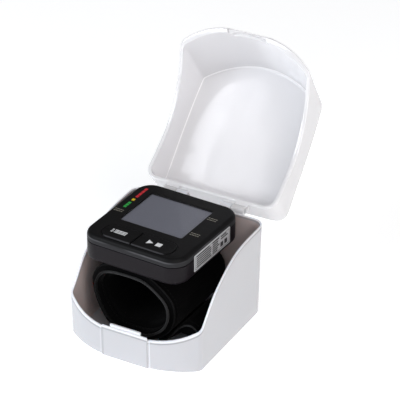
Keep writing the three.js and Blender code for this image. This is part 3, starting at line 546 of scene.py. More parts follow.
@cache
def ruled_tree():
    """Rules rows of print from the left, each as long as chance has it."""
    tree, given = start_tree("Ruled rows", {
        "Rows": "Int", "Pitch": "Float", "Shortest": "Float", "Longest": "Float",
        "Height": "Float", "Thickness": "Float", "Seed": "Int", "Material": "Material"})
    offset = put(tree, "CombineXYZ", {"Y": given["Pitch"]})
    line = step(tree, "GeometryNodeMeshLine",
                {"Count": given["Rows"], "Offset": offset.outputs["Vector"]}, mode="OFFSET")
    bar = step(tree, "GeometryNodeMeshCube", {"Size": (1, 1, 1)})
    moved = step(tree, "GeometryNodeTransform",
                 {"Geometry": bar.outputs["Mesh"], "Translation": (0.5, 0, 0)})
    chance = step(tree, "FunctionNodeRandomValue", {"Seed": given["Seed"]}, data_type="FLOAT")
    tree.links.new(given["Shortest"], chance.inputs[2])
    tree.links.new(given["Longest"], chance.inputs[3])
    size = put(tree, "CombineXYZ",
               {"X": chance.outputs[1], "Y": given["Height"], "Z": given["Thickness"]})
    rows = step(tree, "GeometryNodeInstanceOnPoints",
                {"Points": line.outputs["Mesh"], "Instance": moved.outputs["Geometry"],
                 "Scale": size.outputs["Vector"]})
    return end_tree(tree, rows.outputs["Instances"], given["Material"])


@cache
def pucker_tree():
    """Puckers a soft skin along its normals, by seeded noise."""
    tree, given = start_tree("Puckered skin", {
        "Depth": "Float", "Waves": "Float", "Seed": "Float", "Material": "Material"})
    waves = put(tree, "TexNoise", {"Scale": given["Waves"], "W": given["Seed"], "Detail": 2.5,
                                   "Roughness": 0.55}, noise_dimensions="4D")
    mostly_inwards = counted(tree, "SUBTRACT", waves.outputs["Fac"], 0.62)
    height = counted(tree, "MULTIPLY", mostly_inwards, given["Depth"])
    normal = step(tree, "GeometryNodeInputNormal")
    push = put(tree, "VectorMath", {0: normal.outputs["Normal"], "Scale": height},
               operation="SCALE")
    moved = step(tree, "GeometryNodeSetPosition",
                 {"Geometry": given["Geometry"], "Offset": push.outputs["Vector"]})
    return end_tree(tree, moved.outputs["Geometry"], given["Material"])


def grown(name, make, unit, material, place, inputs, crease=math.radians(60)):
    """Runs a geometry tree on a unit (points, edges, faces) and keeps its result as a mesh."""
    tree = make()
    mesh = bpy.data.meshes.new(name)
    mesh.from_pydata(*unit)
    obj = bpy.data.objects.new(name, mesh)
    bpy.context.scene.collection.objects.link(obj)
    modifier = obj.modifiers.new("Nodes", "NODES")
    modifier.node_group = tree
    sockets = {item.name: item.identifier for item in tree.interface.items_tree
               if item.in_out == "INPUT"}
    modifier[sockets["Material"]] = material
    for key, value in inputs.items():
        modifier[sockets[key]] = value
    baked(obj)
    obj.data.name = name
    obj.data.transform(place)
    smooth(obj, crease)
    return obj


def path_of(points, closed):
    """A line through points as a unit for a geometry tree."""
    count = len(points)
    edges = [(i, (i + 1) % count) for i in range(count if closed else count - 1)]
    return points, edges, []


def solid_of(part):
    """A closed part as a unit for a geometry tree, with its faces pointing out."""
    points, faces = part
    bm = bmesh.new()
    verts = [bm.verts.new(point) for point in points]
    for face in faces:
        bm.faces.new([verts[i] for i in face])
    bmesh.ops.remove_doubles(bm, verts=bm.verts, dist=MM / 1000)
    bmesh.ops.recalc_face_normals(bm, faces=bm.faces)
    bm.verts.index_update()
    unit = ([tuple(vert.co) for vert in bm.verts], [],
            [[vert.index for vert in face.verts] for face in bm.faces])
    bm.free()
    return unit


# Materials

def finish(name):
    """A new node material, its tree and its main shader."""
    material = bpy.data.materials.new(name)
    material.use_nodes = True
    return material, material.node_tree, material.node_tree.nodes["Principled BSDF"]


def object_place(tree):
    """The Object coordinates."""
    return put(tree, "TexCoord").outputs["Object"]


def grain(tree, scale, detail=2.0, roughness=0.5, where=None):
    """A noise value over the object's coordinates, with a scale in grains per metre."""
    where = where or object_place(tree)
    return put(tree, "TexNoise", {"Vector": where, "Scale": scale, "Detail": detail,
                                  "Roughness": roughness}).outputs["Fac"]


def between(tree, value, low, high):
    """Spreads a 0 to 1 value between two numbers."""
    return put(tree, "MapRange", {"Value": value, "To Min": low, "To Max": high}).outputs["Result"]


def climb(tree, value, start, end, low=0, high=1):
    """A smooth change from low to high while a value goes from start to end."""
    sockets = {"Value": value, "From Min": start, "From Max": end, "To Min": low, "To Max": high}
    return put(tree, "MapRange", sockets, interpolation_type="SMOOTHSTEP").outputs["Result"]


def axes(tree):
    """The X, Y and Z of the Object coordinates."""
    return put(tree, "SeparateXYZ", {"Vector": object_place(tree)}).outputs


def monitor_axis(tree, axis):
    """The monitor's own X (0) or Y (1) at each point."""
    place = monitor_place()
    column = place.to_3x3().col[axis]
    dot = put(tree, "VectorMath", {0: object_place(tree), 1: tuple(column)},
              operation="DOT_PRODUCT").outputs["Value"]
    return counted(tree, "SUBTRACT", dot, place.translation.dot(column))


def blend_painted_light(material, weight, rgb):
    """Blends a material's base colour into another one by a weight; here that paints highlights
    and shade into the colour.
    """
    tree = material.node_tree
    shader = tree.nodes["Principled BSDF"]
    mix = put(tree, "Mix", data_type="RGBA")
    tree.links.new(weight, mix.inputs[0])
    tree.links.new(shader.inputs["Base Color"].links[0].from_socket, mix.inputs[6])
    mix.inputs[7].default_value = (*rgb, 1)
    tree.links.new(mix.outputs[2], shader.inputs["Base Color"])
    return material


def tinted(tree, value, first, second):
    """A colour between two colours, by a value."""
    mix = put(tree, "Mix", data_type="RGBA")
    tree.links.new(value, mix.inputs[0])
    mix.inputs[6].default_value = (*first, 1)
    mix.inputs[7].default_value = (*second, 1)
    return mix.outputs[2]


def bumped(tree, shader, height, strength, depth):
    """Feeds a height into the shader's normal."""
    bump = put(tree, "Bump", {"Height": height, "Strength": strength, "Distance": depth})
    tree.links.new(bump.outputs["Normal"], shader.inputs["Normal"])


def tone(name):
    """The colour of one of the main finishes."""
    return tuple(getattr(sizes("finishes"), name))


def shade(rgb, factor):
    """A colour made lighter or darker."""
    return tuple(min(value * factor, 1) for value in rgb)


def moulded(name, rgb, rough, grains, depth, spread=0.06, tint=0.06, level=0.5):
    """Moulded plastic: a fine skin, and broad faint changes of colour and gloss."""
    material, tree, shader = finish(name)
    broad = grain(tree, 35, 3)
    fine = grain(tree, grains, 3, 0.6)
    tree.links.new(tinted(tree, broad, shade(rgb, 1 - tint), shade(rgb, 1 + tint)),
                   shader.inputs["Base Color"])
    tree.links.new(between(tree, grain(tree, 210, 4), rough - spread, rough + spread),
                   shader.inputs["Roughness"])
    shader.inputs["Specular IOR Level"].default_value = level
    bumped(tree, shader, fine, 0.35, depth)
    return material


def glossy_white(name, rgb, rough, milky, depth, reach, wave, stretch=(1, 1, 1)):
    """Polished white plastic that lets some light through, with broad waves under its fine
    skin. A stretch draws the waves out along the open lid's top."""
    material = moulded(name, rgb, rough, 420, 0.05 * MM, 0.03, 0.006)
    tree = material.node_tree
    shader = tree.nodes["Principled BSDF"]
    skin = tree.nodes["Bump"]
    where = put(tree, "Mapping", {"Vector": object_place(tree), "Scale": stretch,
                                  "Rotation": (math.pi - LID_OPENING, 0, 0)},
                vector_type="TEXTURE").outputs["Vector"]
    waves = put(tree, "Bump", {"Height": grain(tree, 26, 1, where=where), "Strength": 1,
                               "Distance": wave})
    tree.links.new(waves.outputs["Normal"], skin.inputs["Normal"])
    shader.inputs["Subsurface Weight"].default_value = milky
    shader.inputs["Subsurface Radius"].default_value = reach
    shader.inputs["Subsurface Scale"].default_value = depth
    shader.inputs["Coat Weight"].default_value = 0.5
    shader.inputs["Coat Roughness"].default_value = 0.02
    return material


def metal(name, rgb, rough):
    """Bare metal with fine drawing marks along X."""
    material, tree, shader = finish(name)
    shader.inputs["Metallic"].default_value = 1
    where = put(tree, "Mapping", {"Vector": object_place(tree), "Scale": (300, 6000, 6000)})
    marks = grain(tree, 1, 3, 0.6, where.outputs["Vector"])
    tree.links.new(tinted(tree, marks, shade(rgb, 0.85), rgb), shader.inputs["Base Color"])
    tree.links.new(between(tree, marks, rough - 0.08, rough + 0.1), shader.inputs["Roughness"])
    bumped(tree, shader, marks, 0.2, 0.02 * MM)
    return material


def woven(name, rgb, pitch, rough=0.85, sheen=0.02, fuzz=0.4):
    """Cloth: over and under threads, loose fuzz and a soft sheen."""
    material, tree, shader = finish(name)
    where = object_place(tree)
    waves = []
    for axis in ("X", "Y", "Z"):
        wave = put(tree, "TexWave", {"Vector": where, "Scale": 1 / (pitch * 6.5),
                                     "Distortion": 0.7, "Detail": 1.5}, wave_type="BANDS",
                   bands_direction=axis)
        waves.append(wave.outputs["Fac"])
    threads = counted(tree, "ADD", counted(tree, "ADD", waves[0], waves[1]), waves[2])
    loose = grain(tree, 1400, 4, 0.7)
    height = counted(tree, "ADD", threads, loose)
    wear_and_highlight = grain(tree, 60, 3)
    tree.links.new(tinted(tree, wear_and_highlight, shade(rgb, 1 - fuzz), shade(rgb, 1 + fuzz)),
                   shader.inputs["Base Color"])
    tree.links.new(between(tree, loose, rough - 0.08, rough + 0.1), shader.inputs["Roughness"])
    shader.inputs["Specular IOR Level"].default_value = 0.05
    shader.inputs["Sheen Weight"].default_value = sheen
    shader.inputs["Sheen Roughness"].default_value = 0.45
    bumped(tree, shader, height, 0.55, 0.12 * MM)
    return material


def screen_finish():
    """The liquid crystal panel: a grey reflector with a faint grid, painted lighter towards the
    right, with painted shade along its left and rear edges.
    """
    material, tree, shader = finish("liquid_crystal")
    rgb, d = tone("screen"), sizes("display")
    across, along = monitor_axis(tree, 0), monitor_axis(tree, 1)
    # Painted light that grows towards the right, and painted shade along the left and rear edges.
    lit = climb(tree, across, d.left, d.right, 1.1, 1.14)
    lit = counted(tree, "MULTIPLY", lit, climb(tree, across, d.left, d.left + 1.2 * MM, 0.6))
    lit = counted(tree, "MULTIPLY", lit, climb(tree, along, d.rear, d.rear - 1.2 * MM, 0.6))
    broad = tinted(tree, grain(tree, 28, 2), shade(rgb, 0.95), shade(rgb, 1.05))
    scaled = put(tree, "VectorMath", {0: broad, "Scale": lit}, operation="SCALE")
    tree.links.new(scaled.outputs["Vector"], shader.inputs["Base Color"])
    tree.links.new(between(tree, grain(tree, 4000, 2), 0.3, 0.42), shader.inputs["Roughness"])
    bumped(tree, shader, grain(tree, 5200, 2), 0.1, 0.02 * MM)
    return material


def glass_finish():
    """The clear plastic over the display."""
    material, tree, shader = finish("clear_plastic")
    shader.inputs["Base Color"].default_value = (0.03, 0.032, 0.036, 1)
    shader.inputs["Alpha"].default_value = 0.16
    tree.links.new(between(tree, grain(tree, 90, 3), 0.05, 0.12), shader.inputs["Roughness"])
    return material


def printed(name, rgb, rough=0.5):
    """Printing ink with slightly uneven cover."""
    material, tree, shader = finish(name)
    tree.links.new(tinted(tree, grain(tree, 2600, 3), shade(rgb, 0.85), rgb),
                   shader.inputs["Base Color"])
    tree.links.new(between(tree, grain(tree, 900, 2), rough - 0.06, rough + 0.06),
                   shader.inputs["Roughness"])
    return material


@cache
def tub_plastic():
    """The tub's plastic: painted highlights on the rim and beside the panel, painted shade beside
    the panel, under the bead and along the foot, and a painted warm shade tint inside.
    """
    rgb = tone("tub")
    material = glossy_white("white_tub_plastic", rgb, 0.24, 0.2, 1.6 * MM,
                            (1.3, 0.8, 0.65), 0.1 * MM)
    tree = material.node_tree
    half = sizes("case").panel_width / 2
    place = axes(tree)
    across = place["X"]
    front = climb(tree, place["Y"], -43 * MM, -44 * MM)
    below = put(tree, "Attribute", attribute_name="below_rim").outputs["Fac"]

    def stripe(value, start, end, most=1):
        """A band between two values, soft at its edges."""
        soft = 0.2 * MM
        rise = climb(tree, value, start - soft, start + soft)
        fall = climb(tree, value, end + soft, end - soft)
        return counted(tree, "MULTIPLY", counted(tree, "MULTIPLY", rise, fall), most)

    # Painted highlights on the bows just past the panel's edges, and painted shade on the panel's
    # own edges.
    pale = counted(tree, "MAXIMUM", stripe(across, half + 0.2 * MM, half + 1.2 * MM, 0.7),
                   stripe(across, -half - 1.6 * MM, -half - 0.4 * MM, 0.3))
    painted_step_shade = counted(tree, "MAXIMUM", stripe(across, half - 0.7 * MM, half - 0.1 * MM, 0.8),
                   stripe(across, -half - 0.1 * MM, -half + 1.6 * MM, 0.6))
    # Painted highlight along the rim's top, and painted shade in the groove under the bead and
    # along the foot.
    rim = climb(tree, below, 0.8 * MM, 0.5 * MM)
    low = counted(tree, "MAXIMUM", stripe(below, 1.1 * MM, 1.9 * MM),
                  climb(tree, place["Z"], 1 * MM, 0.5 * MM))
    inside = put(tree, "Attribute", attribute_name="inside").outputs["Fac"]
    # Painted warm shade tint on the faces that look inward.
    blend_painted_light(material, inside, (rgb[0] * 1.04, rgb[1] * 0.88, rgb[2] * 0.81))
    blend_painted_light(material, counted(tree, "MAXIMUM", counted(tree, "MULTIPLY", front, painted_step_shade), low),
           shade(rgb, 0.72))
    return blend_painted_light(material, counted(tree, "MAXIMUM", counted(tree, "MULTIPLY", front, pale), rim),
                  shade(rgb, 1.5))


@cache
def lid_plastic():
    """The lid's plastic, with a painted highlight in the bend between its walls and its top."""
    rgb = tone("lid")
    material = glossy_white("white_lid_plastic", rgb, 0.12, 0.6, 5 * MM,
                            (1, 1, 1), 0.5 * MM, (1, 2.5, 1))
    tree = material.node_tree
    below = put(tree, "Attribute", attribute_name="below_top").outputs["Fac"]
    # Painted highlight in the inner bend between the walls and the top.
    bend = counted(tree, "MULTIPLY", climb(tree, below, 0.1 * MM, 0.4 * MM),
                   climb(tree, below, 1.1 * MM, 0.8 * MM))
    return blend_painted_light(material, bend, shade(rgb, 1.3))


def cover_plastic():
    """The cover's black plastic, with a patchy painted highlight on the bend under its upper edge
    and fainter painted light on the side below it.
    """
    rgb = tone("black")
    material = moulded("black_textured_plastic", rgb, 0.45, 2600, 0.06 * MM, level=0.08)
    tree = material.node_tree
    monitor = sizes("monitor")
    height = axes(tree)["Z"]
    bend = monitor.top - monitor.top_fall * 0.8
    off = counted(tree, "ABSOLUTE", counted(tree, "SUBTRACT", height, bend), 0)
    # A patchy painted highlight on the bend, and fainter painted light on the side face below it.
    highlight_band = climb(tree, off, 0.8 * MM, 0.1 * MM)
    patchy_highlight = counted(tree, "MULTIPLY", highlight_band, climb(tree, grain(tree, 45, 2), 0.3, 0.75, 0.1, 0.8))
    side = climb(tree, height, bend + 0.5 * MM, bend - 0.5 * MM, 0, 0.15)
    return blend_painted_light(material, counted(tree, "MAXIMUM", patchy_highlight, side), shade(rgb, 22))


@cache
def key_plastic():
    """The keys' black plastic, with a painted highlight along the front edge."""
    k = sizes("keys")
    rgb = tone("key")
    material = moulded("key_plastic", rgb, 0.45, 2200, 0.05 * MM, level=0.06)
    tree = material.node_tree
    edge = k.y - k.half_y
    # Painted highlight along each key's front edge.
    wear_and_highlight = climb(tree, monitor_axis(tree, 1), edge + 1.1 * MM, edge + 0.5 * MM)
    return blend_painted_light(material, wear_and_highlight, shade(rgb, 8))


@cache
def flank_plastic():
    """The lower housing's black plastic, a little smoother than the cover's."""
    return moulded("lower_housing_plastic", tone("flank"), 0.42, 2600, 0.05 * MM, level=0.16)


@cache
def bright_steel():
    """The steel of the screws, the hinge pins and the motor."""
    return metal("bright_steel", (0.50, 0.51, 0.53), 0.28)


@cache
def cuff_cloth():
    """The black cloth of the cuff and its strap."""
    return woven("black_cuff_cloth", tone("fabric"), 0.55 * MM)


@cache
def thread():
    """The black thread of the stitches."""
    return woven("black_thread", shade(tone("piping"), 0.3), 0.25 * MM, 0.6)


@cache
def piping_cloth():
    """The piping's cloth, with a painted highlight along the top and the right of the loop."""
    rgb = tone("piping")
    material = woven("grey_piping", shade(rgb, 0.25), 0.4 * MM, 0.6, 0.1, 0.2)
    tree = material.node_tree
    # Painted highlight that grows towards the top and the right of the loop.
    slant = put(tree, "VectorMath", {0: object_place(tree), 1: (1, 0, 1.2)},
                operation="DOT_PRODUCT").outputs["Value"]
    return blend_painted_light(material, climb(tree, slant, 16 * MM, 34 * MM), shade(rgb, 1.6))


@cache
def white_ink():
    """The white ink of the key signs."""
    return printed("white_ink", (0.86, 0.88, 0.90))


def floor_finish():
    """The pale floor, lit a little from inside so that it reads as white paper."""
    material, tree, shader = finish("pale_floor")
    shader.inputs["Roughness"].default_value = 0.9
    shader.inputs["Emission Color"].default_value = (0.97, 0.985, 1, 1)
    shader.inputs["Emission Strength"].default_value = 0.55
    tree.links.new(tinted(tree, grain(tree, 4, 2), (0.84, 0.84, 0.84), (0.86, 0.86, 0.86)),
                   shader.inputs["Base Color"])
    return material


# The case

RIM_SHARES = [(-0.03, 0), (0, 0), (0.067, 0.081), (0.153, 0.225), (0.198, 0.322), (0.268, 0.5),
              (0.335, 0.637), (0.461, 0.817), (0.593, 0.94), (0.736, 0.986), (1, 1), (1.03, 1)]


def rim_line(case):
    """The rim's side view, as arrays of y and z, on a smooth curve through its stops."""
    depth = case.front_reach + case.rear_reach
    stops = np.array([(share * depth - case.front_reach,
                       case.front_rim + rise * (case.rear_rim - case.front_rim))
                      for share, rise in RIM_SHARES])
    line = []
    per_stretch = 24
    for i in range(len(stops) - 1):
        p0, p1, p2, p3 = (stops[min(max(i + k, 0), len(stops) - 1)] for k in (-1, 0, 1, 2))
        v0, v1 = (p2 - p0) / 2, (p3 - p1) / 2
        for t in np.arange(per_stretch) / per_stretch:
            line.append((2 * p1 - 2 * p2 + v0 + v1) * t ** 3
                        + (3 * p2 - 3 * p1 - 2 * v0 - v1) * t ** 2 + v0 * t + p1)
    line.append(stops[-1])
    return np.array(line).T


def rim_height(case):
    """A function that gives the rim's height at any y."""
    ys, zs = rim_line(case)
    return lambda y: float(np.interp(y, ys, zs))


PANEL_STATIONS = (0, 0.18, 0.36, 0.54, 0.70, 0.7325, 0.7425, 0.86)
PANEL_STOPS = len(PANEL_STATIONS) + 3
BOW_STOPS = 22
CORNER_STOPS = 8
SIDE_STOPS = 44
REAR_STOPS = 8


def side_and_rear(case, inset, corner_y):
    """The plan's right side, its rear corner and the right half of its rear."""
    rear_y = case.rear_reach - case.rear_corner
    x = case.half_width - inset
    points = [(x, corner_y + (rear_y - corner_y) * i / SIDE_STOPS)
              for i in range(1, SIDE_STOPS)]
    points += arc(case.half_width - case.rear_corner, rear_y, case.rear_corner - inset,
                  0, math.pi / 2, CORNER_STOPS)
    end = case.half_width - case.rear_corner
    points += [(end * (1 - i / REAR_STOPS), case.rear_reach - inset)
               for i in range(1, REAR_STOPS + 1)]
    return points


def bow_and_corner(case, bow_x, bow_y, radius, inset, start_x, stops):
    """The plan's front bow from a place across, and the front corner after it."""
    corner = case.front_corner - inset
    corner_x = case.half_width - case.front_corner
    corner_y = bow_y - math.sqrt((radius - corner) ** 2 - (corner_x - bow_x) ** 2)
    turn = math.atan2(corner_y - bow_y, corner_x - bow_x)
    start = -math.acos((start_x - bow_x) / radius)
    bow = arc(bow_x, bow_y, radius, start, turn, stops)
    round_corner = arc(corner_x, corner_y, corner, turn, 0, CORNER_STOPS)
    return bow + round_corner[1:], corner_y


def whole_plan(right):
    """A plan's right half and its mirror image as one closed ring."""
    return right + [(-x, y) for x, y in reversed(right[1:-1])]


def case_plan(case, inset):
    """The case's plan with its proud front panel, drawn in from the outside."""
    half = case.panel_width / 2
    bow_y = case.panel_step - case.front_reach + math.sqrt(
        case.bow_radius ** 2 - (half - case.bow_offset) ** 2)
    front = inset - case.front_reach
    edge = half - inset
    bow, corner_y = bow_and_corner(case, case.bow_offset, bow_y, case.bow_radius - inset,
                                   inset, edge + case.step_round / 2, BOW_STOPS)
    r = case.step_round
    panel = [(edge * station, front) for station in PANEL_STATIONS]
    step = [(edge - r, front), (edge - r * 0.3, front + r * 0.3), (edge, front + r)]
    return whole_plan(panel + step + bow + side_and_rear(case, inset, corner_y))


def hollow_plan(case, lid, inset):
    """The lid's hollow: its front is one smooth bow, with as many points as the outside."""
    bow_y = inset - case.front_reach + lid.inner_bow
    edge = case.panel_width / 2 - inset
    stations = [edge * station for station in PANEL_STATIONS]
    stations += [edge - case.step_round, edge - case.step_round * 0.5, edge]
    panel = [(x, bow_y - math.sqrt(lid.inner_bow ** 2 - x ** 2)) for x in stations]
    bow, corner_y = bow_and_corner(case, 0, bow_y, lid.inner_bow, inset,
                                   edge + case.step_round / 2, BOW_STOPS)
    return whole_plan(panel + bow + side_and_rear(case, inset, corner_y))


def panel_rise(case, index, count, stops):
    """How much higher the rim is at one point of a plan: for some stops from the middle."""
    on_panel = index < stops or index > count - stops
    return case.panel_rise if on_panel else 0


def noted(obj, name, value, turn=Matrix()):
    """Keeps a number at each point of a mesh, found from its place and normal, for a material."""
    notes = obj.data.attributes.new(name, "FLOAT", "POINT")
    for vert, note in zip(obj.data.vertices, notes.data):
        note.value = value(turn @ vert.co, turn.to_3x3() @ vert.normal)


def hinge_eye(x0, x1, outline, pin_radius, edge):
    """A hinge eye with its arm, drawn across from x0 to x1 round the pin's bore."""
    def ring(x, shrink, radius=None):
        points = []
        for y, z in outline:
            away = Vector((y - HINGE.y, z - HINGE.z))
            far = radius or away.length - shrink
            away = away.normalized() * far
            points.append((x, HINGE.y + away.x, HINGE.z + away.y))
        return points
    rings = [ring(x0, edge), ring(x0 + edge, 0), ring(x1 - edge, 0), ring(x1, edge),
             ring(x1, 0, pin_radius), ring(x0, 0, pin_radius)]
    return loft(rings, cyclic=True)


def eye_outline(case, arm_low, arm_high, start, end):
    """An eye's side view: the arm's root in the wall, and the round end past the axis."""
    wall_y = case.rear_reach + math.tan(case.flare) * case.rear_rim - case.wall / 2
    stops = 5
    low = [(wall_y + (HINGE.y - wall_y) * i / stops, arm_low) for i in range(1, stops)]
    high = [(y, arm_high) for y, _ in reversed(low)]
    round_end = arc(HINGE.y, HINGE.z, case.eye_radius, start, end, 28)
    root = [(wall_y, arm_high + (arm_low - arm_high) * i / stops) for i in range(stops + 1)]
    low = [point for point in low if point[0] < round_end[0][0] - MM / 10]
    high = [point for point in high if point[0] < round_end[-1][0] - MM / 10]
    return low + round_end + high + root


class WRISTCASE_OT_tub(Operator):
    """Model the white tub with its sloping rim, catch tab and hinge lugs"""
    bl_idname = "wrist_case.tub"
    bl_label = "Build the tub"

    def execute(self, context):
        case = sizes("case")
        rim = rim_height(case)
        rings = []

        def level(inset, height, shrink=1.0):
            """Adds a ring, whose height follows from the rim's height above each point."""
            ring = []
            plan = case_plan(case, inset)
            for i, (x, y) in enumerate(plan):
                z = height(rim(y) + panel_rise(case, i, len(plan), PANEL_STOPS - 1))
                grow = math.tan(case.flare) * z
                ring.append((x * shrink * (1 + grow / case.half_width),
                             y * shrink * (1 + grow / case.rear_reach), z))
            rings.append(ring)

        r = case.foot_round
        level(r, lambda top: 0, 0.06)
        level(r, lambda top: 0, 0.6)
        for across, up in quarter(4):
            level(r * (1 - up), lambda top: r * across)
        wall_stops = 12
        e = case.rim_round
        bead, groove = case.bead, case.bead_groove
        for i in range(1, wall_stops + 1):
            level(0, lambda top: r + (top - bead - groove - r) * i / wall_stops)
        level(groove / 2, lambda top: top - bead - groove / 2)
        level(0, lambda top: top - bead)
        for across, up in quarter(4)[1:]:
            level(e * across, lambda top: top - e + e * up)
        for across, up in reversed(quarter(4)):
            level(case.rim_wall - e * across, lambda top: top - e + e * up)
        f = case.floor_round
        for i in range(wall_stops - 1, -1, -1):
            share = i / wall_stops
            level(case.wall + (case.rim_wall - case.wall) * share,
                  lambda top: case.floor + f + (top - e - case.floor - f) * share)
        for across, up in quarter(5)[1:]:
            level(case.wall + f * across, lambda top: case.floor + f * (1 - up))
        level(case.wall + f, lambda top: case.floor, 0.6)
        level(case.wall + f, lambda top: case.floor, 0.06)

        wall_y = case.wall - case.front_reach - case.tab_bite
        half = case.tab_width / 2
        top = case.front_rim + case.panel_rise
        tab = soft_box(-half, half, wall_y, wall_y + case.tab_thickness,
                       top - case.tab_root, top + case.tab_rise, 0.3 * MM)
        outline = eye_outline(case, HINGE.z - case.arm, HINGE.z, -math.pi / 2, math.pi)
        lugs = [hinge_eye(near, near + case.lug_length, outline,
                          case.pin_radius + case.clearance, 0.3 * MM)
                for near in (case.lug_inner, -case.lug_inner - case.lug_length)]
        tub = new_piece("case_tub", [loft(rings)], tub_plastic())
        carved(tub, [new_piece("part", [part], tub_plastic()) for part in (tab, *lugs)], "UNION")

        def below_rim(place, normal):
            on_panel = abs(place.x) < case.panel_width / 2 - MM / 10 and place.y < 0
            return rim(place.y) + (case.panel_rise if on_panel else 0) - place.z

        noted(tub, "below_rim", below_rim)
        noted(tub, "inside", lambda place, normal: normal.xy.dot(place.xy) < -place.xy.length / 3)
        settle(tub, "case", "white_case", "case_base")
        dress(bright_steel(), "hinge_pin_left", "hinge_pin_right")
        return {"FINISHED"}


def roof_line(case, lid, crown, inset, drop):
    """The height under the lid's top at any place: a slope, a round rear and a crown."""
    run = case.front_reach + case.rear_reach - lid.rear_radius
    rise = (lid.rear_height - lid.front_height) / run
    slope = math.atan(rise)
    rear = case.rear_reach + math.tan(case.flare) * case.rear_rim - inset
    radius = lid.rear_radius - inset
    round_y = rear - radius
    meet_y = round_y - radius * math.sin(slope)

    def slope_height(y):
        return lid.front_height + rise * (y + case.front_reach) - drop

    round_z = slope_height(meet_y) - radius * math.cos(slope)

    def height(x, y):
        lift = crown * max(1 - (x / case.half_width) ** 2, 0)
        if y < meet_y:
            return slope_height(y) + lift
        run_in = min(max(y - round_y, -radius), radius)
        return round_z + math.sqrt(max(radius ** 2 - run_in ** 2, 0)) + lift
    return height


ROOF_SHARES = (0.99, 0.975, 0.955, 0.93, 0.9, 0.86, 0.8, 0.72, 0.62, 0.5, 0.36, 0.2, 0.04)
LID_WALL_STOPS = 14
# Over this run of its sides the lid takes its rear form.
REAR_START = 20 * MM
REAR_RUN = 20 * MM


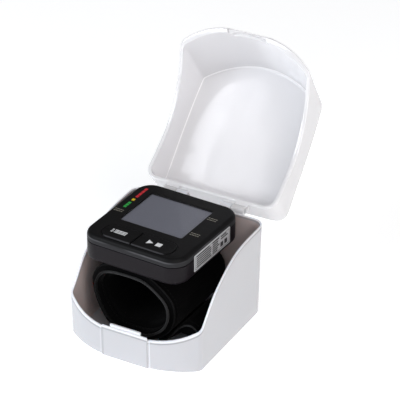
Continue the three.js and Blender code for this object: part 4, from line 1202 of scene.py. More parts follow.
class WRISTCASE_OT_lid(Operator):
    """Model the white lid closed, then turn it open about its hinge"""
    bl_idname = "wrist_case.lid"
    bl_label = "Build the lid"

    def execute(self, context):
        case, lid = sizes("case"), sizes("lid")
        rim = rim_height(case)

        def leaned(x, y, z):
            grow = (math.tan(case.flare) * rim(y) - math.tan(lid.draft) * (z - rim(y)))
            out = grow
            if y < 0:
                share = max(1 - (x / case.half_width) ** 2, 0)
                out = (math.tan(case.flare) * z
                       + share * math.tan(lid.lean) * max(z - case.front_rim, 0))
            return x * (1 + grow / case.half_width), y * (1 + out / case.rear_reach)

        def wall_top(plan_point, roof):
            z = roof(*plan_point)
            for _ in range(6):
                z = roof(*leaned(*plan_point, z))
            return z

        def edge_round(y):
            share = min(max((y - REAR_START) / REAR_RUN, 0), 1)
            return lid.edge_round + (lid.rear_edge_round - lid.edge_round) * share

        def skin(outline, roof, levels, round_of, tuck):
            """Rings up one face of the walls and in over its roof to the middle. A level is a
            share of the wall's height above a lift from the rim."""
            rings = []
            tops = [wall_top(point, roof) for point in outline]
            lows = [rim(y) + case.clearance + panel_rise(case, i, len(outline), PANEL_STOPS)
                    for i, (_, y) in enumerate(outline)]
            for up_share, lift in levels:
                ring = []
                for (x, y), top, low in zip(outline, tops, lows):
                    r = round_of(y)
                    z = low + lift + (top - r - low - lift) * up_share
                    px, py = leaned(x, y, z)
                    share = max(z - case.front_rim, 0) / (lid.rear_height - case.front_rim)
                    pull = tuck * share * (abs(x) / case.half_width) ** 4
                    ring.append([px - math.copysign(pull, px), py, z])
                rings.append(ring)
            base = rings[-1]
            for across, up in quarter(5)[1:]:
                ring = []
                for (x, y, _), (_, plan_y), top in zip(base, outline, tops):
                    r = round_of(plan_y)
                    reach = math.hypot(x, y)
                    px, py = (value * (1 - r * across / reach) for value in (x, y))
                    ring.append([px, py, roof(px, py) - r * (1 - up)])
                rings.append(ring)
            edge = rings[-1]
            for k in ROOF_SHARES:
                rings.append([[x * k, y * k, roof(x * k, y * k)] for x, y, _ in edge])
            return rings

        def even_levels(lift):
            """Levels in equal steps up the wall from a lift."""
            return [(i / LID_WALL_STOPS, lift) for i in range(1, LID_WALL_STOPS + 1)]

        e, r = case.rim_round * 0.7, lid.rim_round
        outside = skin(case_plan(case, 0), roof_line(case, lid, lid.crown, 0, 0),
                       [(0, r), (0, 1.3 * r)] + even_levels(1.3 * r), edge_round, 0)
        notch = case.tab_rise + 2 * case.clearance
        above_notch = notch + 0.2 * MM
        hollow_top = roof_line(case, lid, lid.inner_crown, case.wall, lid.roof)

        def rippled(x, y):
            return hollow_top(x, y) + lid.ripple * noise.noise(Vector((x, y, 0)) / lid.ripple_run)

        inside = skin(hollow_plan(case, lid, case.wall), rippled,
                      [(0, e), (0, notch), (0, above_notch)] + even_levels(above_notch),
                      lambda y: (lid.hollow_round if y < REAR_START + REAR_RUN / 2
                                 else lid.rear_edge_round), lid.tuck)

        half_notch = case.tab_width / 2 + case.clearance
        for ring in inside[:2]:
            for point in ring:
                if abs(point[0]) < half_notch and point[1] < 0:
                    point[1] -= case.tab_bite + case.clearance

        def lip(first, second):
            """The rim of the lid, with its two edges softened, between two rings."""
            rings = []
            for share, lift in ((0.03, 0.62 * r), (0.11, 0.31 * r), (0.22, 0.1 * r), (0.38, 0),
                                (0.88, 0), (1, 0.3 * e)):
                rings.append([[a[0] + (b[0] - a[0]) * share, a[1] + (b[1] - a[1]) * share,
                               (a[2] - r) * (1 - share) + (b[2] - e) * share + lift]
                              for a, b in zip(first, second)])
            return rings

        rings = list(reversed(outside)) + lip(outside[0], inside[0]) + inside
        near = case.lug_inner + case.lug_length + case.clearance
        arm_low = case.rear_rim + case.clearance
        outline = eye_outline(case, arm_low, arm_low + case.arm,
                              math.pi - 0.27, 2 * math.pi + math.pi / 3)
        knuckles = [hinge_eye(x0, x0 + lid.knuckle_length, outline,
                              case.pin_radius + case.clearance, 0.3 * MM)
                    for x0 in (near, -near - lid.knuckle_length)]
        opened = (Matrix.Translation(HINGE) @ Matrix.Rotation(-LID_OPENING, 4, "X")
                  @ Matrix.Translation(-HINGE))
        hood = new_piece("case_hood", [loft(rings)], lid_plastic(), opened)
        carved(hood, [new_piece("part", [part], lid_plastic(), opened) for part in knuckles],
               "UNION")

        def below_top(place, normal):
            outer = max(normal.xy.dot(place.xy) / max(place.xy.length, MM), normal.z)
            return 1 if outer > 0.2 else hollow_top(place.x, place.y) - place.z

        noted(hood, "below_top", below_top, opened.inverted())
        settle(hood, "lid", "white_case", "case_lid")
        return {"FINISHED"}


# The monitor

def monitor_place():
    """Where the monitor's own frame stands in the case."""
    monitor = sizes("monitor")
    return (Matrix.Translation((monitor.place_x, monitor.place_y, 0))
            @ Matrix.Rotation(monitor.turn, 4, "Z"))


def monitor_ring(inset, z):
    """The housing's plan at a height, drawn in from the outside."""
    m = sizes("monitor")
    return [(x, y, z) for x, y in round_rectangle(
        inset - m.half_x, m.half_x - inset, inset - m.half_y, m.half_y - inset,
        m.corner - inset, 12, 8)]


def opening_rings(x0, x1, y0, y1, corner, edge, top, bottom, per_corner=8):
    """Rings from a flat face down through a soft-edged opening, outermost ring first."""
    rings = []
    for out, z in [(edge + 0.4 * MM, top), (edge, top)] + [
            (edge * (1 - up), top - edge * across) for across, up in quarter(4)[1:]] + [
            (0, bottom)]:
        rings.append([(x, y, z) for x, y in round_rectangle(
            x0 - out, x1 + out, y0 - out, y1 + out, corner + out, per_corner, 3)])
    return rings


def add_rings(bm, rings):
    """Skins rings into a bmesh and gives back the first and the last ring's edges."""
    made = [[bm.verts.new(point) for point in ring] for ring in rings]
    for first, second in zip(made, made[1:]):
        count = len(first)
        for i in range(count):
            bm.faces.new((first[i], first[(i + 1) % count],
                          second[(i + 1) % count], second[i]))
    ends = []
    for ring in (made[0], made[-1]):
        ends.append([bm.edges.get((ring[i], ring[(i + 1) % len(ring)]))
                     for i in range(len(ring))])
    return ends


def shell_with_openings(name, shell_rings, openings, material, place):
    """A closed shell whose flat faces at both ends of its skin have openings between them."""
    bm = bmesh.new()
    outer_first, outer_last = add_rings(bm, shell_rings)
    firsts, lasts = [outer_first], [outer_last]
    for rings in openings:
        first, last = add_rings(bm, rings)
        firsts.append(first)
        lasts.append(last)
    for loops in (firsts, lasts):
        bmesh.ops.triangle_fill(bm, use_beauty=True, use_dissolve=False,
                                edges=[edge for loop in loops for edge in loop])
    return piece_from(name, bm, material, place)


class WRISTCASE_OT_cover(Operator):
    """Model the monitor's top cover with its display and key openings"""
    bl_idname = "wrist_case.cover"
    bl_label = "Build the top cover"

    def execute(self, context):
        m, d, k = sizes("monitor"), sizes("display"), sizes("keys")
        r, fall, c = m.top_round, m.top_fall, m.seam_round
        under = m.top - m.roof
        rings = [monitor_ring(r + 0.5 * MM, m.top)]
        rings += [monitor_ring(r * across, m.top - fall + fall * up)
                  for across, up in reversed(quarter(8))]
        rings += [monitor_ring(0, m.seam + c + (m.top - fall - m.seam - c) * i / 3)
                  for i in (2, 1, 0)]
        rings += [monitor_ring(0.3 * c, m.seam + 0.3 * c), monitor_ring(c, m.seam),
                  monitor_ring(m.wall - 0.1 * MM, m.seam), monitor_ring(m.wall, m.seam + 0.1 * MM),
                  monitor_ring(m.wall, under - 0.3 * MM), monitor_ring(m.wall + 0.3 * MM, under),
                  monitor_ring(m.wall + 0.8 * MM, under)]
        gap = sizes("case").clearance
        key_hole = opening_rings(
            k.x - k.half_x - gap, k.x + k.half_x + gap, k.y - k.half_y - gap,
            k.y + k.half_y + gap, k.corner + gap, 0.3 * MM, m.top, under, 12)
        window = opening_rings(d.left, d.right, d.front, d.rear, d.corner, d.edge_round,
                               m.top, under)
        cover = shell_with_openings("cover_shell", rings, [key_hole, window],
                                    cover_plastic(), monitor_place())
        settle(cover, "monitor", "black_case", "top_cover")
        return {"FINISHED"}


def screw_places():
    """The four screws' places in the monitor's plan."""
    m = sizes("monitor")
    return [(sx * (m.half_x - m.screw_inset), sy * (m.half_y - m.screw_inset))
            for sx in (-1, 1) for sy in (-1, 1)]


def circle(x, y, radius, z, count=20):
    """A closed ring round an upright axis."""
    return [(px, py, z) for px, py in arc(x, y, radius, 0, 2 * math.pi, count)[:-1]]


class WRISTCASE_OT_housing(Operator):
    """Model the lower housing, its battery door and its screws"""
    bl_idname = "wrist_case.housing"
    bl_label = "Build the lower housing"

    def execute(self, context):
        m, case = sizes("monitor"), sizes("case")
        gap = case.clearance
        top = m.seam - gap
        r, c = m.foot_round, m.seam_round
        inner_floor = m.underside + m.wall
        rings = [monitor_ring(r + 0.5 * MM, m.underside)]
        rings += [monitor_ring(r * across, m.underside + r - r * up)
                  for across, up in reversed(quarter(8))]
        rings += [monitor_ring(0, m.underside + r + (top - c - m.underside - r) * i / 4)
                  for i in (1, 2, 3, 4)]
        rings += [monitor_ring(0.3 * c, top - 0.3 * c), monitor_ring(c, top),
                  monitor_ring(m.wall - 0.1 * MM, top), monitor_ring(m.wall, top - 0.1 * MM),
                  monitor_ring(m.wall, inner_floor + 0.3 * MM),
                  monitor_ring(m.wall + 0.3 * MM, inner_floor),
                  monitor_ring(m.wall + 0.8 * MM, inner_floor)]
        head, shank = 2.2 * MM, 1.15 * MM
        step_z = m.underside + 1.3 * MM
        holes = [[circle(x, y, head + 0.3 * MM, m.underside),
                  circle(x, y, head, m.underside + 0.25 * MM), circle(x, y, head, step_z),
                  circle(x, y, shank, step_z), circle(x, y, shank, inner_floor)]
                 for x, y in screw_places()]
        place = monitor_place()
        housing = shell_with_openings("housing_shell", rings, holes, flank_plastic(), place)

        def slice_tool(grow):
            box = soft_box(-m.half_x - 4 * MM, -m.half_x + m.door_depth + grow,
                           -m.half_y - 4 * MM, m.door_rear + grow,
                           m.door_low - grow, m.door_high + grow, 0.15 * MM)
            return new_piece("slice_tool", [box], flank_plastic(), place)

        carved(housing, [slice_tool(gap)])
        settle(housing, "monitor", "black_case", "lower_housing")

        door = new_piece("door_slide", [loft([monitor_ring(0, m.door_low - MM),
                                              monitor_ring(0, m.door_high + MM)])],
                         flank_plastic(), place)
        carved(door, [slice_tool(0)], "INTERSECT")
        settle(door, "battery_door_body", "black_case", "battery_door")
        first = m.door_rear - m.rib_start
        rib = soft_box(-m.half_x - 0.3 * MM, -m.half_x + 0.4 * MM, first, first + m.rib_width,
                       m.door_low + m.rib_margin, m.door_high - m.rib_margin, 0.25 * MM)
        ribs = grown("door_ribs", row_tree, solid_of(rib), flank_plastic(), place,
                     {"Count": 5, "Step": (0, -m.rib_pitch, 0)}, CREASE)
        settle(ribs, "battery_door_body", "black_case")
        self.screws(place)
        return {"FINISHED"}

    def screws(self, place):
        """Four screws with pan heads and cross recesses, under the housing's corners."""
        m = sizes("monitor")
        head, shank = 1.9 * MM, 0.85 * MM
        low = m.underside + 0.15 * MM
        shape = [(head * 0.55, low), (head * 0.85, low + 0.12 * MM), (head, low + 0.35 * MM),
                 (head, low + 0.85 * MM), (shank, low + 0.85 * MM),
                 (shank, m.top - m.roof - 1.7 * MM), (shank * 0.5, m.top - m.roof - 1.4 * MM)]
        screw = new_piece("screw", [loft([circle(0, 0, radius, z, 28) for radius, z in shape])],
                          bright_steel())
        slots = [new_piece("slot", [soft_box(-a, a, -b, b, low - 0.5 * MM, low + 0.5 * MM,
                                             0.05 * MM)], bright_steel())
                 for a, b in ((1.25 * MM, 0.24 * MM), (0.24 * MM, 1.25 * MM))]
        carved(screw, slots)
        unit = ([tuple(vert.co) for vert in screw.data.vertices], [],
                [list(face.vertices) for face in screw.data.polygons])
        bpy.data.objects.remove(screw)
        screws = grown("housing_screws", corners_tree, unit, bright_steel(), place,
                       {"Spread X": 2 * (m.half_x - m.screw_inset),
                        "Spread Y": 2 * (m.half_y - m.screw_inset), "Seed": 5},
                       CREASE)
        settle(screws, "monitor", "steel", *(f"housing_screw_{i}" for i in range(1, 5)))


class WRISTCASE_OT_display(Operator):
    """Model the liquid crystal panel and the clear plastic over it"""
    bl_idname = "wrist_case.display"
    bl_label = "Build the display"

    def execute(self, context):
        m, d = sizes("monitor"), sizes("display")
        place = monitor_place()

        def plate(out, z0, z1):
            edge = 0.1 * MM
            shape = [(out - edge, z0), (out, z0 + edge), (out, z1 - edge), (out - edge, z1)]
            return loft([[(x, y, z) for x, y in round_rectangle(
                d.left - grow, d.right + grow, d.front - grow, d.rear + grow,
                d.corner + grow, 6, 3)] for grow, z in shape])

        low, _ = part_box("display_panel")
        screen = new_piece("display_screen", [plate(0.9 * MM, low.z, m.top - m.roof - 0.2 * MM),
                                              plate(-0.15 * MM, m.top - m.roof - 0.4 * MM,
                                                    m.top - d.screen_drop)],
                           screen_finish(), place)
        settle(screen, "monitor", "crystal_panel", "display_panel")
        glass_top = m.top - d.glass_drop
        glass = new_piece("display_glass", [plate(-0.1 * MM, glass_top - d.glass, glass_top)],
                          glass_finish(), place)
        settle(glass, "monitor", "clear_window", "display_window")
        return {"FINISHED"}


def key_outline(side, inset):
    """One key's outline: its half of the row on one side of the groove, drawn in."""
    k = sizes("keys")
    row = round_rectangle(k.x - k.half_x + inset, k.x + k.half_x - inset,
                          k.y - k.half_y + inset, k.y + k.half_y - inset,
                          k.corner - inset, 14, 10)
    edge = k.split + side * (k.groove / 2 + inset)
    kept = [(x, y) for x, y in row if (x - edge) * side > 0.4 * MM]
    front = [(x, y) for x, y in kept if y < k.y]
    rear = [(x, y) for x, y in kept if y >= k.y]
    y0, y1 = k.y - k.half_y + inset, k.y + k.half_y - inset
    nick = 0.35 * MM
    ends = [(edge + side * nick, y1), (edge, y1 - nick), (edge, k.y), (edge, y0 + nick),
            (edge + side * nick, y0)]
    front.sort(key=lambda point: side * point[0])
    rear.sort(key=lambda point: -side * point[0])
    return resampled(front + rear + ends, 120)


def resampled(outline, count):
    """A closed outline as equally spaced points."""
    points = np.array(outline + outline[:1])
    steps = np.hypot(*np.diff(points, axis=0).T)
    along = np.concatenate([[0], np.cumsum(steps)])
    stops = np.arange(count) * along[-1] / count
    return list(zip(np.interp(stops, along, points[:, 0]).tolist(),
                    np.interp(stops, along, points[:, 1]).tolist()))


def key_top(y):
    """Height of a key's face, which climbs from its rear edge to its front edge."""
    m, k = sizes("monitor"), sizes("keys")
    share = min(max((k.y + k.half_y - y) / (2 * k.half_y), 0), 1)
    return m.top + k.rear_rise + (k.front_rise - k.rear_rise) * share ** 1.5


def print_bar(x0, x1, y0, y1, height):
    """One printed stroke that lies on a face given by a height at any y."""
    thickness = sizes("keys").print_thickness
    flat = [(x0, y0), (x1, y0), (x1, y1), (x0, y1)]
    return loft([[(x, y, height(y) - thickness) for x, y in flat],
                 [(x, y, height(y) + thickness) for x, y in flat]])


class WRISTCASE_OT_keys(Operator):
    """Model the memory key and the start key with their printed signs"""
    bl_idname = "wrist_case.keys"
    bl_label = "Build the keys"

    def execute(self, context):
        m, k = sizes("monitor"), sizes("keys")
        place = monitor_place()
        low = m.top + 0.2 * MM - k.thickness
        for side, key, body in ((-1, "memory_key", "memory_key_body"),
                                (1, "start_key", "start_key_body")):
            r = k.edge_round
            rings = [[(x, y, low) for x, y in key_outline(side, 0)]]
            rings += [[(x, y, key_top(y) - r + r * up) for x, y in key_outline(side, r * across)]
                      for across, up in quarter(5)]
            rings.append([(x, y, key_top(y)) for x, y in key_outline(side, r + 0.4 * MM)])
            middle_x = (k.split + k.x + side * k.half_x) / 2
            rings += [[(middle_x + (x - middle_x) * share, k.y + (y - k.y) * share,
                        key_top(k.y + (y - k.y) * share))
                       for x, y in key_outline(side, r + 0.4 * MM)]
                      for share in (0.75, 0.5, 0.25)]
            piece = new_piece(key + "_cap", [loft(rings)], key_plastic(), place)
            settle(piece, body, "black_key", key)
        self.signs(place)
        return {"FINISHED"}

    def signs(self, place):
        """The stacked bars of the memory key, and the start key's triangle and square."""
        k = sizes("keys")
        x, y = k.memory_sign, k.y + 0.6 * MM
        bars = [print_bar(x + (start - 5.2) * MM, x + (end - 5.2) * MM,
                          y + (row * 1.35 - 0.4) * MM, y + (row * 1.35 + 0.4) * MM, key_top)
                for row in (-1, 0, 1) for start, end in ((0, 1.3), (2.2, 10.4))]
        settle(new_piece("memory_sign", bars, white_ink(), place), "memory_key_body", "label")
        x, y = k.start_sign, k.y + 0.5 * MM
        t = k.print_thickness
        triangle = [(x - 4.6 * MM, y - 2.3 * MM), (x - 0.6 * MM, y), (x - 4.6 * MM, y + 2.3 * MM)]
        sign = [loft([[(px, py, key_top(py) - t) for px, py in triangle],
                      [(px, py, key_top(py) + t) for px, py in triangle]]),
                print_bar(x + 1.4 * MM, x + 5.2 * MM, y - 1.9 * MM, y + 1.9 * MM, key_top)]
        settle(new_piece("start_sign", sign, white_ink(), place), "start_key_body", "label")


class WRISTCASE_OT_marks(Operator):
    """Print the level bar and the small marks on the top cover"""
    bl_idname = "wrist_case.marks"
    bl_label = "Print the marks"

    def execute(self, context):
        m, colours = sizes("monitor"), sizes("finishes")
        place = monitor_place()
        bar_left, bar_right = -29.2 * MM, -27.3 * MM

        def flat(y):
            return m.top

        def strip(name, rgb, start, run, count):
            """One colour of the bar: equal stretches, a hair apart."""
            each = run / count
            bar = print_bar(bar_left, bar_right, start * MM, (start + each - 0.4) * MM, flat)
            piece = grown(name, row_tree, solid_of(bar), printed(name + "_ink", tuple(rgb)),
                          place, {"Count": count, "Step": (0, each * MM, 0)})
            settle(piece, "monitor", "label")

        strip("level_low", colours.green, 2, 7.4, 3)
        strip("level_middle", colours.yellow, 11.2, 2.8, 1)
        strip("level_high", colours.red, 15.6, 13, 4)
        places = [(-29.2, -2.6), (25.4, 17.0), (25.6, -3.4)]
        dashes = [(-3.1, -1.9), (-1.5, 0.3), (0.7, 1.6), (2.0, 3.1)]
        marks = [print_bar((x + a) * MM, (x + b) * MM, (y + row - 0.35) * MM,
                           (y + row + 0.35) * MM, flat)
                 for x, y in places for row in (-0.95, 0.95) for a, b in dashes]
        ink = printed("pale_ink", (0.24, 0.23, 0.19))
        settle(new_piece("small_marks", marks, ink, place), "monitor", "label")
        return {"FINISHED"}


class WRISTCASE_OT_label(Operator):
    """Model the rating label on the right flank with its ruled lines"""
    bl_idname = "wrist_case.label"
    bl_label = "Build the label"

    def execute(self, context):
        place, label = monitor_place(), sizes("label")
        edge = 0.05 * MM

        def outline(inset):
            return round_rectangle(label.front + inset, label.rear - inset, label.low + inset,
                                   label.high - inset, label.corner - inset, 4, 3)

        paper = loft([[(x, y, z) for y, z in outline(inset)] for x, inset in (
            (label.back, 0), (label.face - edge, 0), (label.face, edge))])
        sheet = new_piece("label_sheet", [paper], printed("label_paper", tone("paper"), 0.45),
                          place)
        settle(sheet, "monitor", "label", "rating_label")

        def stroke(a, b, low, high):
            return loft([[(x, y, z) for y, z in ((a, low), (b, low), (b, high), (a, high))]
                         for x in (label.face - label.ink_depth, label.face + label.ink_depth)])

        border, inset = label.border, label.inset
        a, b = label.front + inset, label.rear - inset
        low, high = label.low + inset, label.high - inset
        frame_lines = [stroke(a, b, low, low + border), stroke(a, b, high - border, high),
                       stroke(a, a + border, low, high), stroke(b - border, b, low, high)]
        side, right, lower = label.square, b - 7.2 * MM, low + 1.2 * MM
        squares = [stroke(edge - side, edge, lower, lower + side)
                   for edge in (right, right + label.square_pitch)]
        ink = printed("label_ink", (0.02, 0.02, 0.022))
        settle(new_piece("label_frame", frame_lines + squares, ink, place), "monitor", "label")
        for name, start, pitch, rows, least, most, seed in (
                ("label_rows_left", 1.2, 1.45, 6, 14, 17.5, 3),
                ("label_rows_middle", 19.6, 1.45, 6, 5, 8, 8),
                ("label_rows_right", 29.4, 1.5, 2, 6, 8.4, 12)):
            foot = low + 1.3 * MM if rows > 3 else high - 2.6 * MM
            upright = Matrix(((0, 0, 1, label.face), (1, 0, 0, a + start * MM),
                              (0, 1, 0, foot), (0, 0, 0, 1)))
            lines = grown(name, ruled_tree, ([], [], []), ink, place @ upright,
                          {"Rows": rows, "Pitch": pitch * MM, "Shortest": least * MM,
                           "Longest": most * MM, "Height": 0.9 * MM, "Thickness": 0.04 * MM,
                           "Seed": seed})
            settle(lines, "monitor", "label")
        return {"FINISHED"}


# The cuff

LOOP_POINTS = 192


def cuff_loop(inset):
    """The loop across the wrist as points (x, z), drawn in from the outside."""
    cuff = sizes("cuff")
    half_high = (cuff.high - cuff.low) / 2
    points = []
    for i in range(LOOP_POINTS):
        turn = 2 * math.pi * i / LOOP_POINTS
        c, s = math.cos(turn), math.sin(turn)
        square = cuff.squareness - cuff.skew * c * max(s, 0)
        if c < 0 and s < 0:
            square += cuff.foot_square * c * s
        power = 2 / square
        across = math.copysign(abs(c) ** power, c)
        up = math.copysign(abs(s) ** power, s)
        narrowing = cuff.bulge * up * up
        if c > 0:
            narrowing += cuff.taper * max(-up, 0) ** 1.5
        else:
            narrowing += cuff.left_taper * max(0.4 - up, 0) ** 1.2
        points.append((cuff.x + across * (cuff.half_width - inset - narrowing),
                       (cuff.low + cuff.high) / 2 + up * (half_high - inset)))
    return points


def evened_loop(inset):
    """The same loop with equally spaced points."""
    return resampled(cuff_loop(inset), LOOP_POINTS)


def cuff_section():
    """The padded wall's section as (inset, y), once round from the outside's rear."""
    cuff = sizes("cuff")
    w, f, b = cuff.wall, cuff.front, cuff.rear
    stops = 26
    outer = [(0.15 * MM, b - 3 * MM + (f + 4.4 * MM - b + 3 * MM) * i / stops)
             for i in range(stops + 1)]
    nose = [(share_in * MM, f + share_y * MM) for share_in, share_y in (
        (0.5, 3.9), (0.25, 3.3), (0.3, 2.7), (0.9, 2.2), (1.7, 1.9), (2.5, 1.7), (3, 1.2),
        (3.5, 0.8), (4.4, 0.8))]
    inner = [(w - back * MM, f + y * MM) for back, y in (
        (0.3, 1.4), (0, 2.4), (0, 4), (0, 6.2), (0.25, 6.7), (-0.5, 7.1), (-1.2, 7.8),
        (-1.5, 9), (-1.6, 11))]
    inner += [(w + 1.6 * MM, f + 11 * MM + (b - f - 22 * MM) * i / stops)
              for i in range(1, stops + 1)]
    tail = [(w + 1.2 * MM, b - 8 * MM), (w + 0.2 * MM, b - 6.6 * MM), (w, b - 5 * MM),
            (w, b - 3 * MM), (w - 0.4 * MM, b - 1.2 * MM), (w - 1.6 * MM, b - 0.4 * MM),
            (w / 2, b - 0.2 * MM), (1.5 * MM, b - 0.4 * MM), (0.5 * MM, b - 1.2 * MM)]
    return outer + nose + inner + tail


def loop_path(inset, y):
    """The loop at an inset and a y, as a closed line for a geometry tree."""
    return path_of([(x, y, z) for x, z in evened_loop(inset)], True)


class WRISTCASE_OT_cuff(Operator):
    """Model the padded cuff, its piping, its rolled edge and its stitches"""
    bl_idname = "wrist_case.cuff"
    bl_label = "Build the cuff"

    def execute(self, context):
        cuff = sizes("cuff")
        place = monitor_place()
        rings = [[(x, y, z) for x, z in evened_loop(inset)] for inset, y in cuff_section()]
        wrap = grown("cuff_wrap", pucker_tree, solid_of(loft(rings, cyclic=True)), cuff_cloth(),
                     place, {"Depth": cuff.pucker, "Waves": 75, "Seed": 2.5}, math.radians(70))
        settle(wrap, "monitor", "cuff_fabric", "cuff_sleeve", "cuff_former", "cuff_bladder",
               "cuff_lining", "front_binding", "rear_binding")
        edging_cloth = woven("rolled_edge_cloth", shade(tone("piping"), 0.4), 0.4 * MM, 0.7)
        for name, radius, inset, y, cloth in (
                ("front_piping", cuff.piping, cuff.wall - 1.8 * MM, cuff.front + 0.5 * MM,
                 piping_cloth()),
                ("front_roll", cuff.roll, 0.5 * MM, cuff.front + 2.9 * MM, edging_cloth),
                ("rear_piping", cuff.piping, cuff.wall - 1.8 * MM, cuff.rear - 0.6 * MM,
                 piping_cloth())):
            cord = grown(name, cord_tree, loop_path(inset, y), cloth, place,
                         {"Radius": radius, "Sides": 12}, math.radians(80))
            settle(cord, "monitor", "cuff_fabric")
        for name, inset, y in (("outer_stitches", 0.2 * MM, cuff.front + cuff.outer_seam),
                               ("inner_stitches", cuff.wall + 0.1 * MM,
                                cuff.front + cuff.inner_seam),
                               ("rear_stitches", 0.2 * MM, cuff.rear - cuff.rear_seam)):
            row = grown(name, stitch_tree, loop_path(inset, y), thread(), place,
                        {"Pitch": cuff.stitch_pitch, "Length": cuff.stitch,
                         "Thickness": cuff.stitch_thickness})
            settle(row, "monitor", "cuff_fabric")
        return {"FINISHED"}


TAIL_SHARES = [(-0.75, 0.0), (-0.5, 0.035), (-0.32, 0.11), (-0.17, 0.19), (0.02, 0.28),
               (0.24, 0.35), (0.44, 0.35), (0.63, 0.3), (0.78, 0.19)]


class WRISTCASE_OT_tail(Operator):
    """Model the strap's free end beside the cuff"""
    bl_idname = "wrist_case.tail"
    bl_label = "Build the strap's free end"

    def execute(self, context):
        cuff = sizes("cuff")
        x0 = cuff.x + cuff.half_width
        stops = np.array([(x0 + across * cuff.tail_room,
                           cuff.low + up * (cuff.high - cuff.low)) for across, up in TAIL_SHARES])
        along = np.linspace(0, 1, len(stops))
        fine = np.linspace(0, 1, 40)
        curve = np.stack([np.polyval(np.polyfit(along, stops[:, i], 5), fine)
                          for i in (0, 1)], axis=1)
        tangent = np.gradient(curve, axis=0)
        tangent /= np.linalg.norm(tangent, axis=1)[:, None]
        normal = np.stack([-tangent[:, 1], tangent[:, 0]], axis=1)
        half = cuff.tail_thickness / 2
        rings = []
        width_stops = 20
        front, width = cuff.tail_front, cuff.tail_width
        for j in range(width_stops + 1):
            share = j / width_stops
            y = front + width * share
            thin = math.sqrt(max(1 - (2 * share - 1) ** 16, 0.06))
            ring = []
            for side in (1, -1):
                for i in range(len(curve)) if side > 0 else range(len(curve) - 1, -1, -1):
                    end = min(i, len(curve) - 1 - i)
                    taper = min(1, 0.35 + end * 0.3)
                    point = curve[i] + side * normal[i] * half * thin * taper
                    ring.append((point[0], y, point[1]))
            rings.append(ring)
        place = monitor_place()
        tail = grown("strap_band", pucker_tree, solid_of(loft(rings)), cuff_cloth(), place,
                     {"Depth": 0.4 * MM, "Waves": 70, "Seed": 4.5}, math.radians(70))
        settle(tail, "monitor", "cuff_fabric", "strap_tail")
        lift = normal * half
        for name, y in (("strap_edge_front", front), ("strap_edge_rear", front + width)):
            edge = [(x, y, z) for x, z in curve.tolist()]
            cord = grown(name, cord_tree, path_of(edge, False), piping_cloth(), place,
                         {"Radius": half * 0.5, "Sides": 10}, math.radians(80))
            settle(cord, "monitor", "cuff_fabric")
        for name, y in (("strap_stitches_front", front + cuff.strap_seam),
                        ("strap_stitches_rear", front + width - cuff.strap_seam)):
            line = [(x, y, z) for x, z in (curve + lift).tolist()][1:-1]
            row = grown(name, stitch_tree, path_of(line, False), thread(), place,
                        {"Pitch": cuff.stitch_pitch, "Length": cuff.stitch,
                         "Thickness": cuff.stitch_thickness})
            settle(row, "monitor", "cuff_fabric")
        return {"FINISHED"}


class WRISTCASE_OT_inner(Operator):
    """Give the pieces inside the monitor their finishes"""
    bl_idname = "wrist_case.inner"
    bl_label = "Finish the inner pieces"

    def execute(self, context):
        dark = moulded("dark_grey_plastic", (0.045, 0.046, 0.05), 0.5, 1500, 0.05 * MM)
        dress(dark, "memory_switch", "start_switch", "pump_head", "air_manifold",
              "pressure_sensor", "cuff_saddle")
        dress(bright_steel(), "pump_motor")
        brass = metal("brass", (0.56, 0.38, 0.13), 0.3)
        dress(brass, "front_contact", "rear_contact", "release_valve", "buzzer")
        dress(moulded("green_board", (0.012, 0.11, 0.04), 0.4, 900, 0.05 * MM), "circuit_board")
        dress(moulded("cell_jacket", (0.03, 0.16, 0.34), 0.35, 500, 0.03 * MM),
              "battery_outer", "battery_inner")
        dress(moulded("silicone_hose", (0.62, 0.62, 0.58), 0.5, 700, 0.04 * MM),
              "pump_hose", "valve_hose")
        return {"FINISHED"}


# Each light's name, place, run, length, width, power in watts and tint. The two strips are
# what the lid's top mirrors.
LIGHTS = (
    ("key_light", (-0.9, -1.1, 0.75), (0, 1, 0), 0.8, 0.8, 13, (0.9, 0.95, 1)),
    ("fill_light", (1.2, -0.7, 0.7), (0, 1, 0), 0.8, 0.8, 6.5, (1, 0.96, 0.93)),
    ("front_light", (0.55, -1.3, 0.65), (0, 1, 0), 0.8, 0.8, 4.2, (0.92, 0.96, 1)),
    ("right_light", (0.9, -0.3, 1.2), (0, 1, 0), 0.8, 0.8, 3.8, (1, 0.96, 0.94)),
    ("strip_light", (-0.646, -0.7, 1.2), (0.34, 0.94, 0), 0.5, 0.016, 0.12, (0.97, 0.97, 1)),
    ("faint_strip_light", (-0.618, -0.73, 1.2), (0.15, 1, 0), 0.2, 0.036, 0.035,
     (0.97, 0.97, 1)),
)


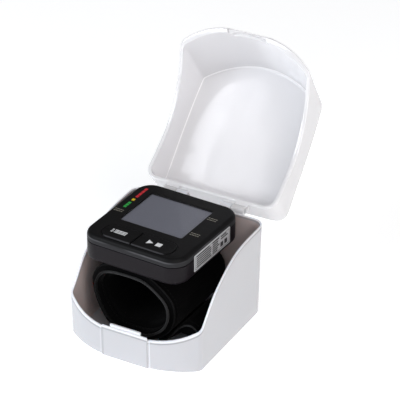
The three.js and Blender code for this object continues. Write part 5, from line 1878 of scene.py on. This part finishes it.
class WRISTCASE_OT_stage(Operator):
    """Set the floor, the lights and the camera"""
    bl_idname = "wrist_case.stage"
    bl_label = "Set the stage"

    def execute(self, context):
        stage = sizes("stage")
        aim = Vector((stage.aim_x, stage.aim_y, stage.aim_z))
        az, el = stage.azimuth, stage.elevation
        back = Vector((math.sin(az) * math.cos(el), -math.cos(az) * math.cos(el), math.sin(el)))
        right = Vector((math.cos(az), math.sin(az), 0))
        turn = Matrix((right, back.cross(right), back)).transposed().to_4x4()
        camera_data = bpy.data.cameras.new("camera")
        camera_data.lens = stage.lens
        camera_data.sensor_width = 36
        camera_data.clip_end = 20
        camera = bpy.data.objects.new("camera", camera_data)
        camera.matrix_world = (Matrix.Translation(aim + back * stage.distance) @ turn
                               @ Matrix.Rotation(stage.roll, 4, "Z"))
        context.scene.collection.objects.link(camera)
        context.scene.camera = camera

        half = stage.floor_size / 2
        bm = bmesh.new()
        bmesh.ops.create_grid(bm, x_segments=8, y_segments=8, size=half)
        mesh = bpy.data.meshes.new("floor")
        bm.to_mesh(mesh)
        bm.free()
        mesh.materials.append(floor_finish())
        floor = bpy.data.objects.new("floor", mesh)
        floor.location.z = -0.4 * MM
        context.scene.collection.objects.link(floor)

        world = bpy.data.worlds.new("studio")
        world.use_nodes = True
        background = world.node_tree.nodes["Background"]
        background.inputs["Color"].default_value = (1, 0.97, 0.955, 1)
        background.inputs["Strength"].default_value = 0.23
        context.scene.world = world
        for light in LIGHTS:
            self.light(*light)
        context.scene.view_settings.view_transform = "Standard"
        return {"FINISHED"}

    def light(self, name, place, run, size, across, power, tint):
        """A soft light that faces the object, with its length along its run."""
        data = bpy.data.lights.new(name, "AREA")
        data.shape = "RECTANGLE"
        data.size = size
        data.size_y = across
        data.energy = power
        data.color = tint
        light = bpy.data.objects.new(name, data)
        away = (Vector(place) - Vector((0, 0.02, 0.06))).normalized()
        along = (Vector(run) - away * away.dot(run)).normalized()
        turn = Matrix((along, away.cross(along), away)).transposed().to_4x4()
        light.matrix_world = Matrix.Translation(place) @ turn
        bpy.context.scene.collection.objects.link(light)


OPERATORS = (WRISTCASE_OT_tub, WRISTCASE_OT_lid, WRISTCASE_OT_cover, WRISTCASE_OT_housing,
             WRISTCASE_OT_display, WRISTCASE_OT_keys, WRISTCASE_OT_marks, WRISTCASE_OT_label,
             WRISTCASE_OT_cuff, WRISTCASE_OT_tail, WRISTCASE_OT_inner, WRISTCASE_OT_stage)


class WRISTCASE_PT_panel(Panel):
    """Lists the pieces in the order in which they are built"""
    bl_idname = "WRISTCASE_PT_panel"
    bl_label = "Wrist monitor"
    bl_space_type = "VIEW_3D"
    bl_region_type = "UI"
    bl_category = "Wrist monitor"

    def draw(self, context):
        for operator in OPERATORS:
            self.layout.operator(operator.bl_idname)
        for group in GROUPS:
            box = self.layout.box()
            settings = sizes(group)
            for name in GROUPS[group].__annotations__:
                box.prop(settings, name)


CLASSES = (*GROUPS.values(), *OPERATORS, WRISTCASE_PT_panel)


def register():
    """Registers the classes and puts the sizes on the scene."""
    for each in CLASSES:
        bpy.utils.register_class(each)
    for name, group in GROUPS.items():
        setattr(bpy.types.Scene, "wrist_monitor_" + name, PointerProperty(type=group))


def unregister():
    """Takes the sizes off the scene and unregisters the classes."""
    for name in GROUPS:
        delattr(bpy.types.Scene, "wrist_monitor_" + name)
    for each in reversed(CLASSES):
        bpy.utils.unregister_class(each)


def main():
    """Builds every piece in order."""
    register()
    for operator in OPERATORS:
        family, name = operator.bl_idname.split(".")
        getattr(getattr(bpy.ops, family), name)()


if __name__ == "__main__":
    main()
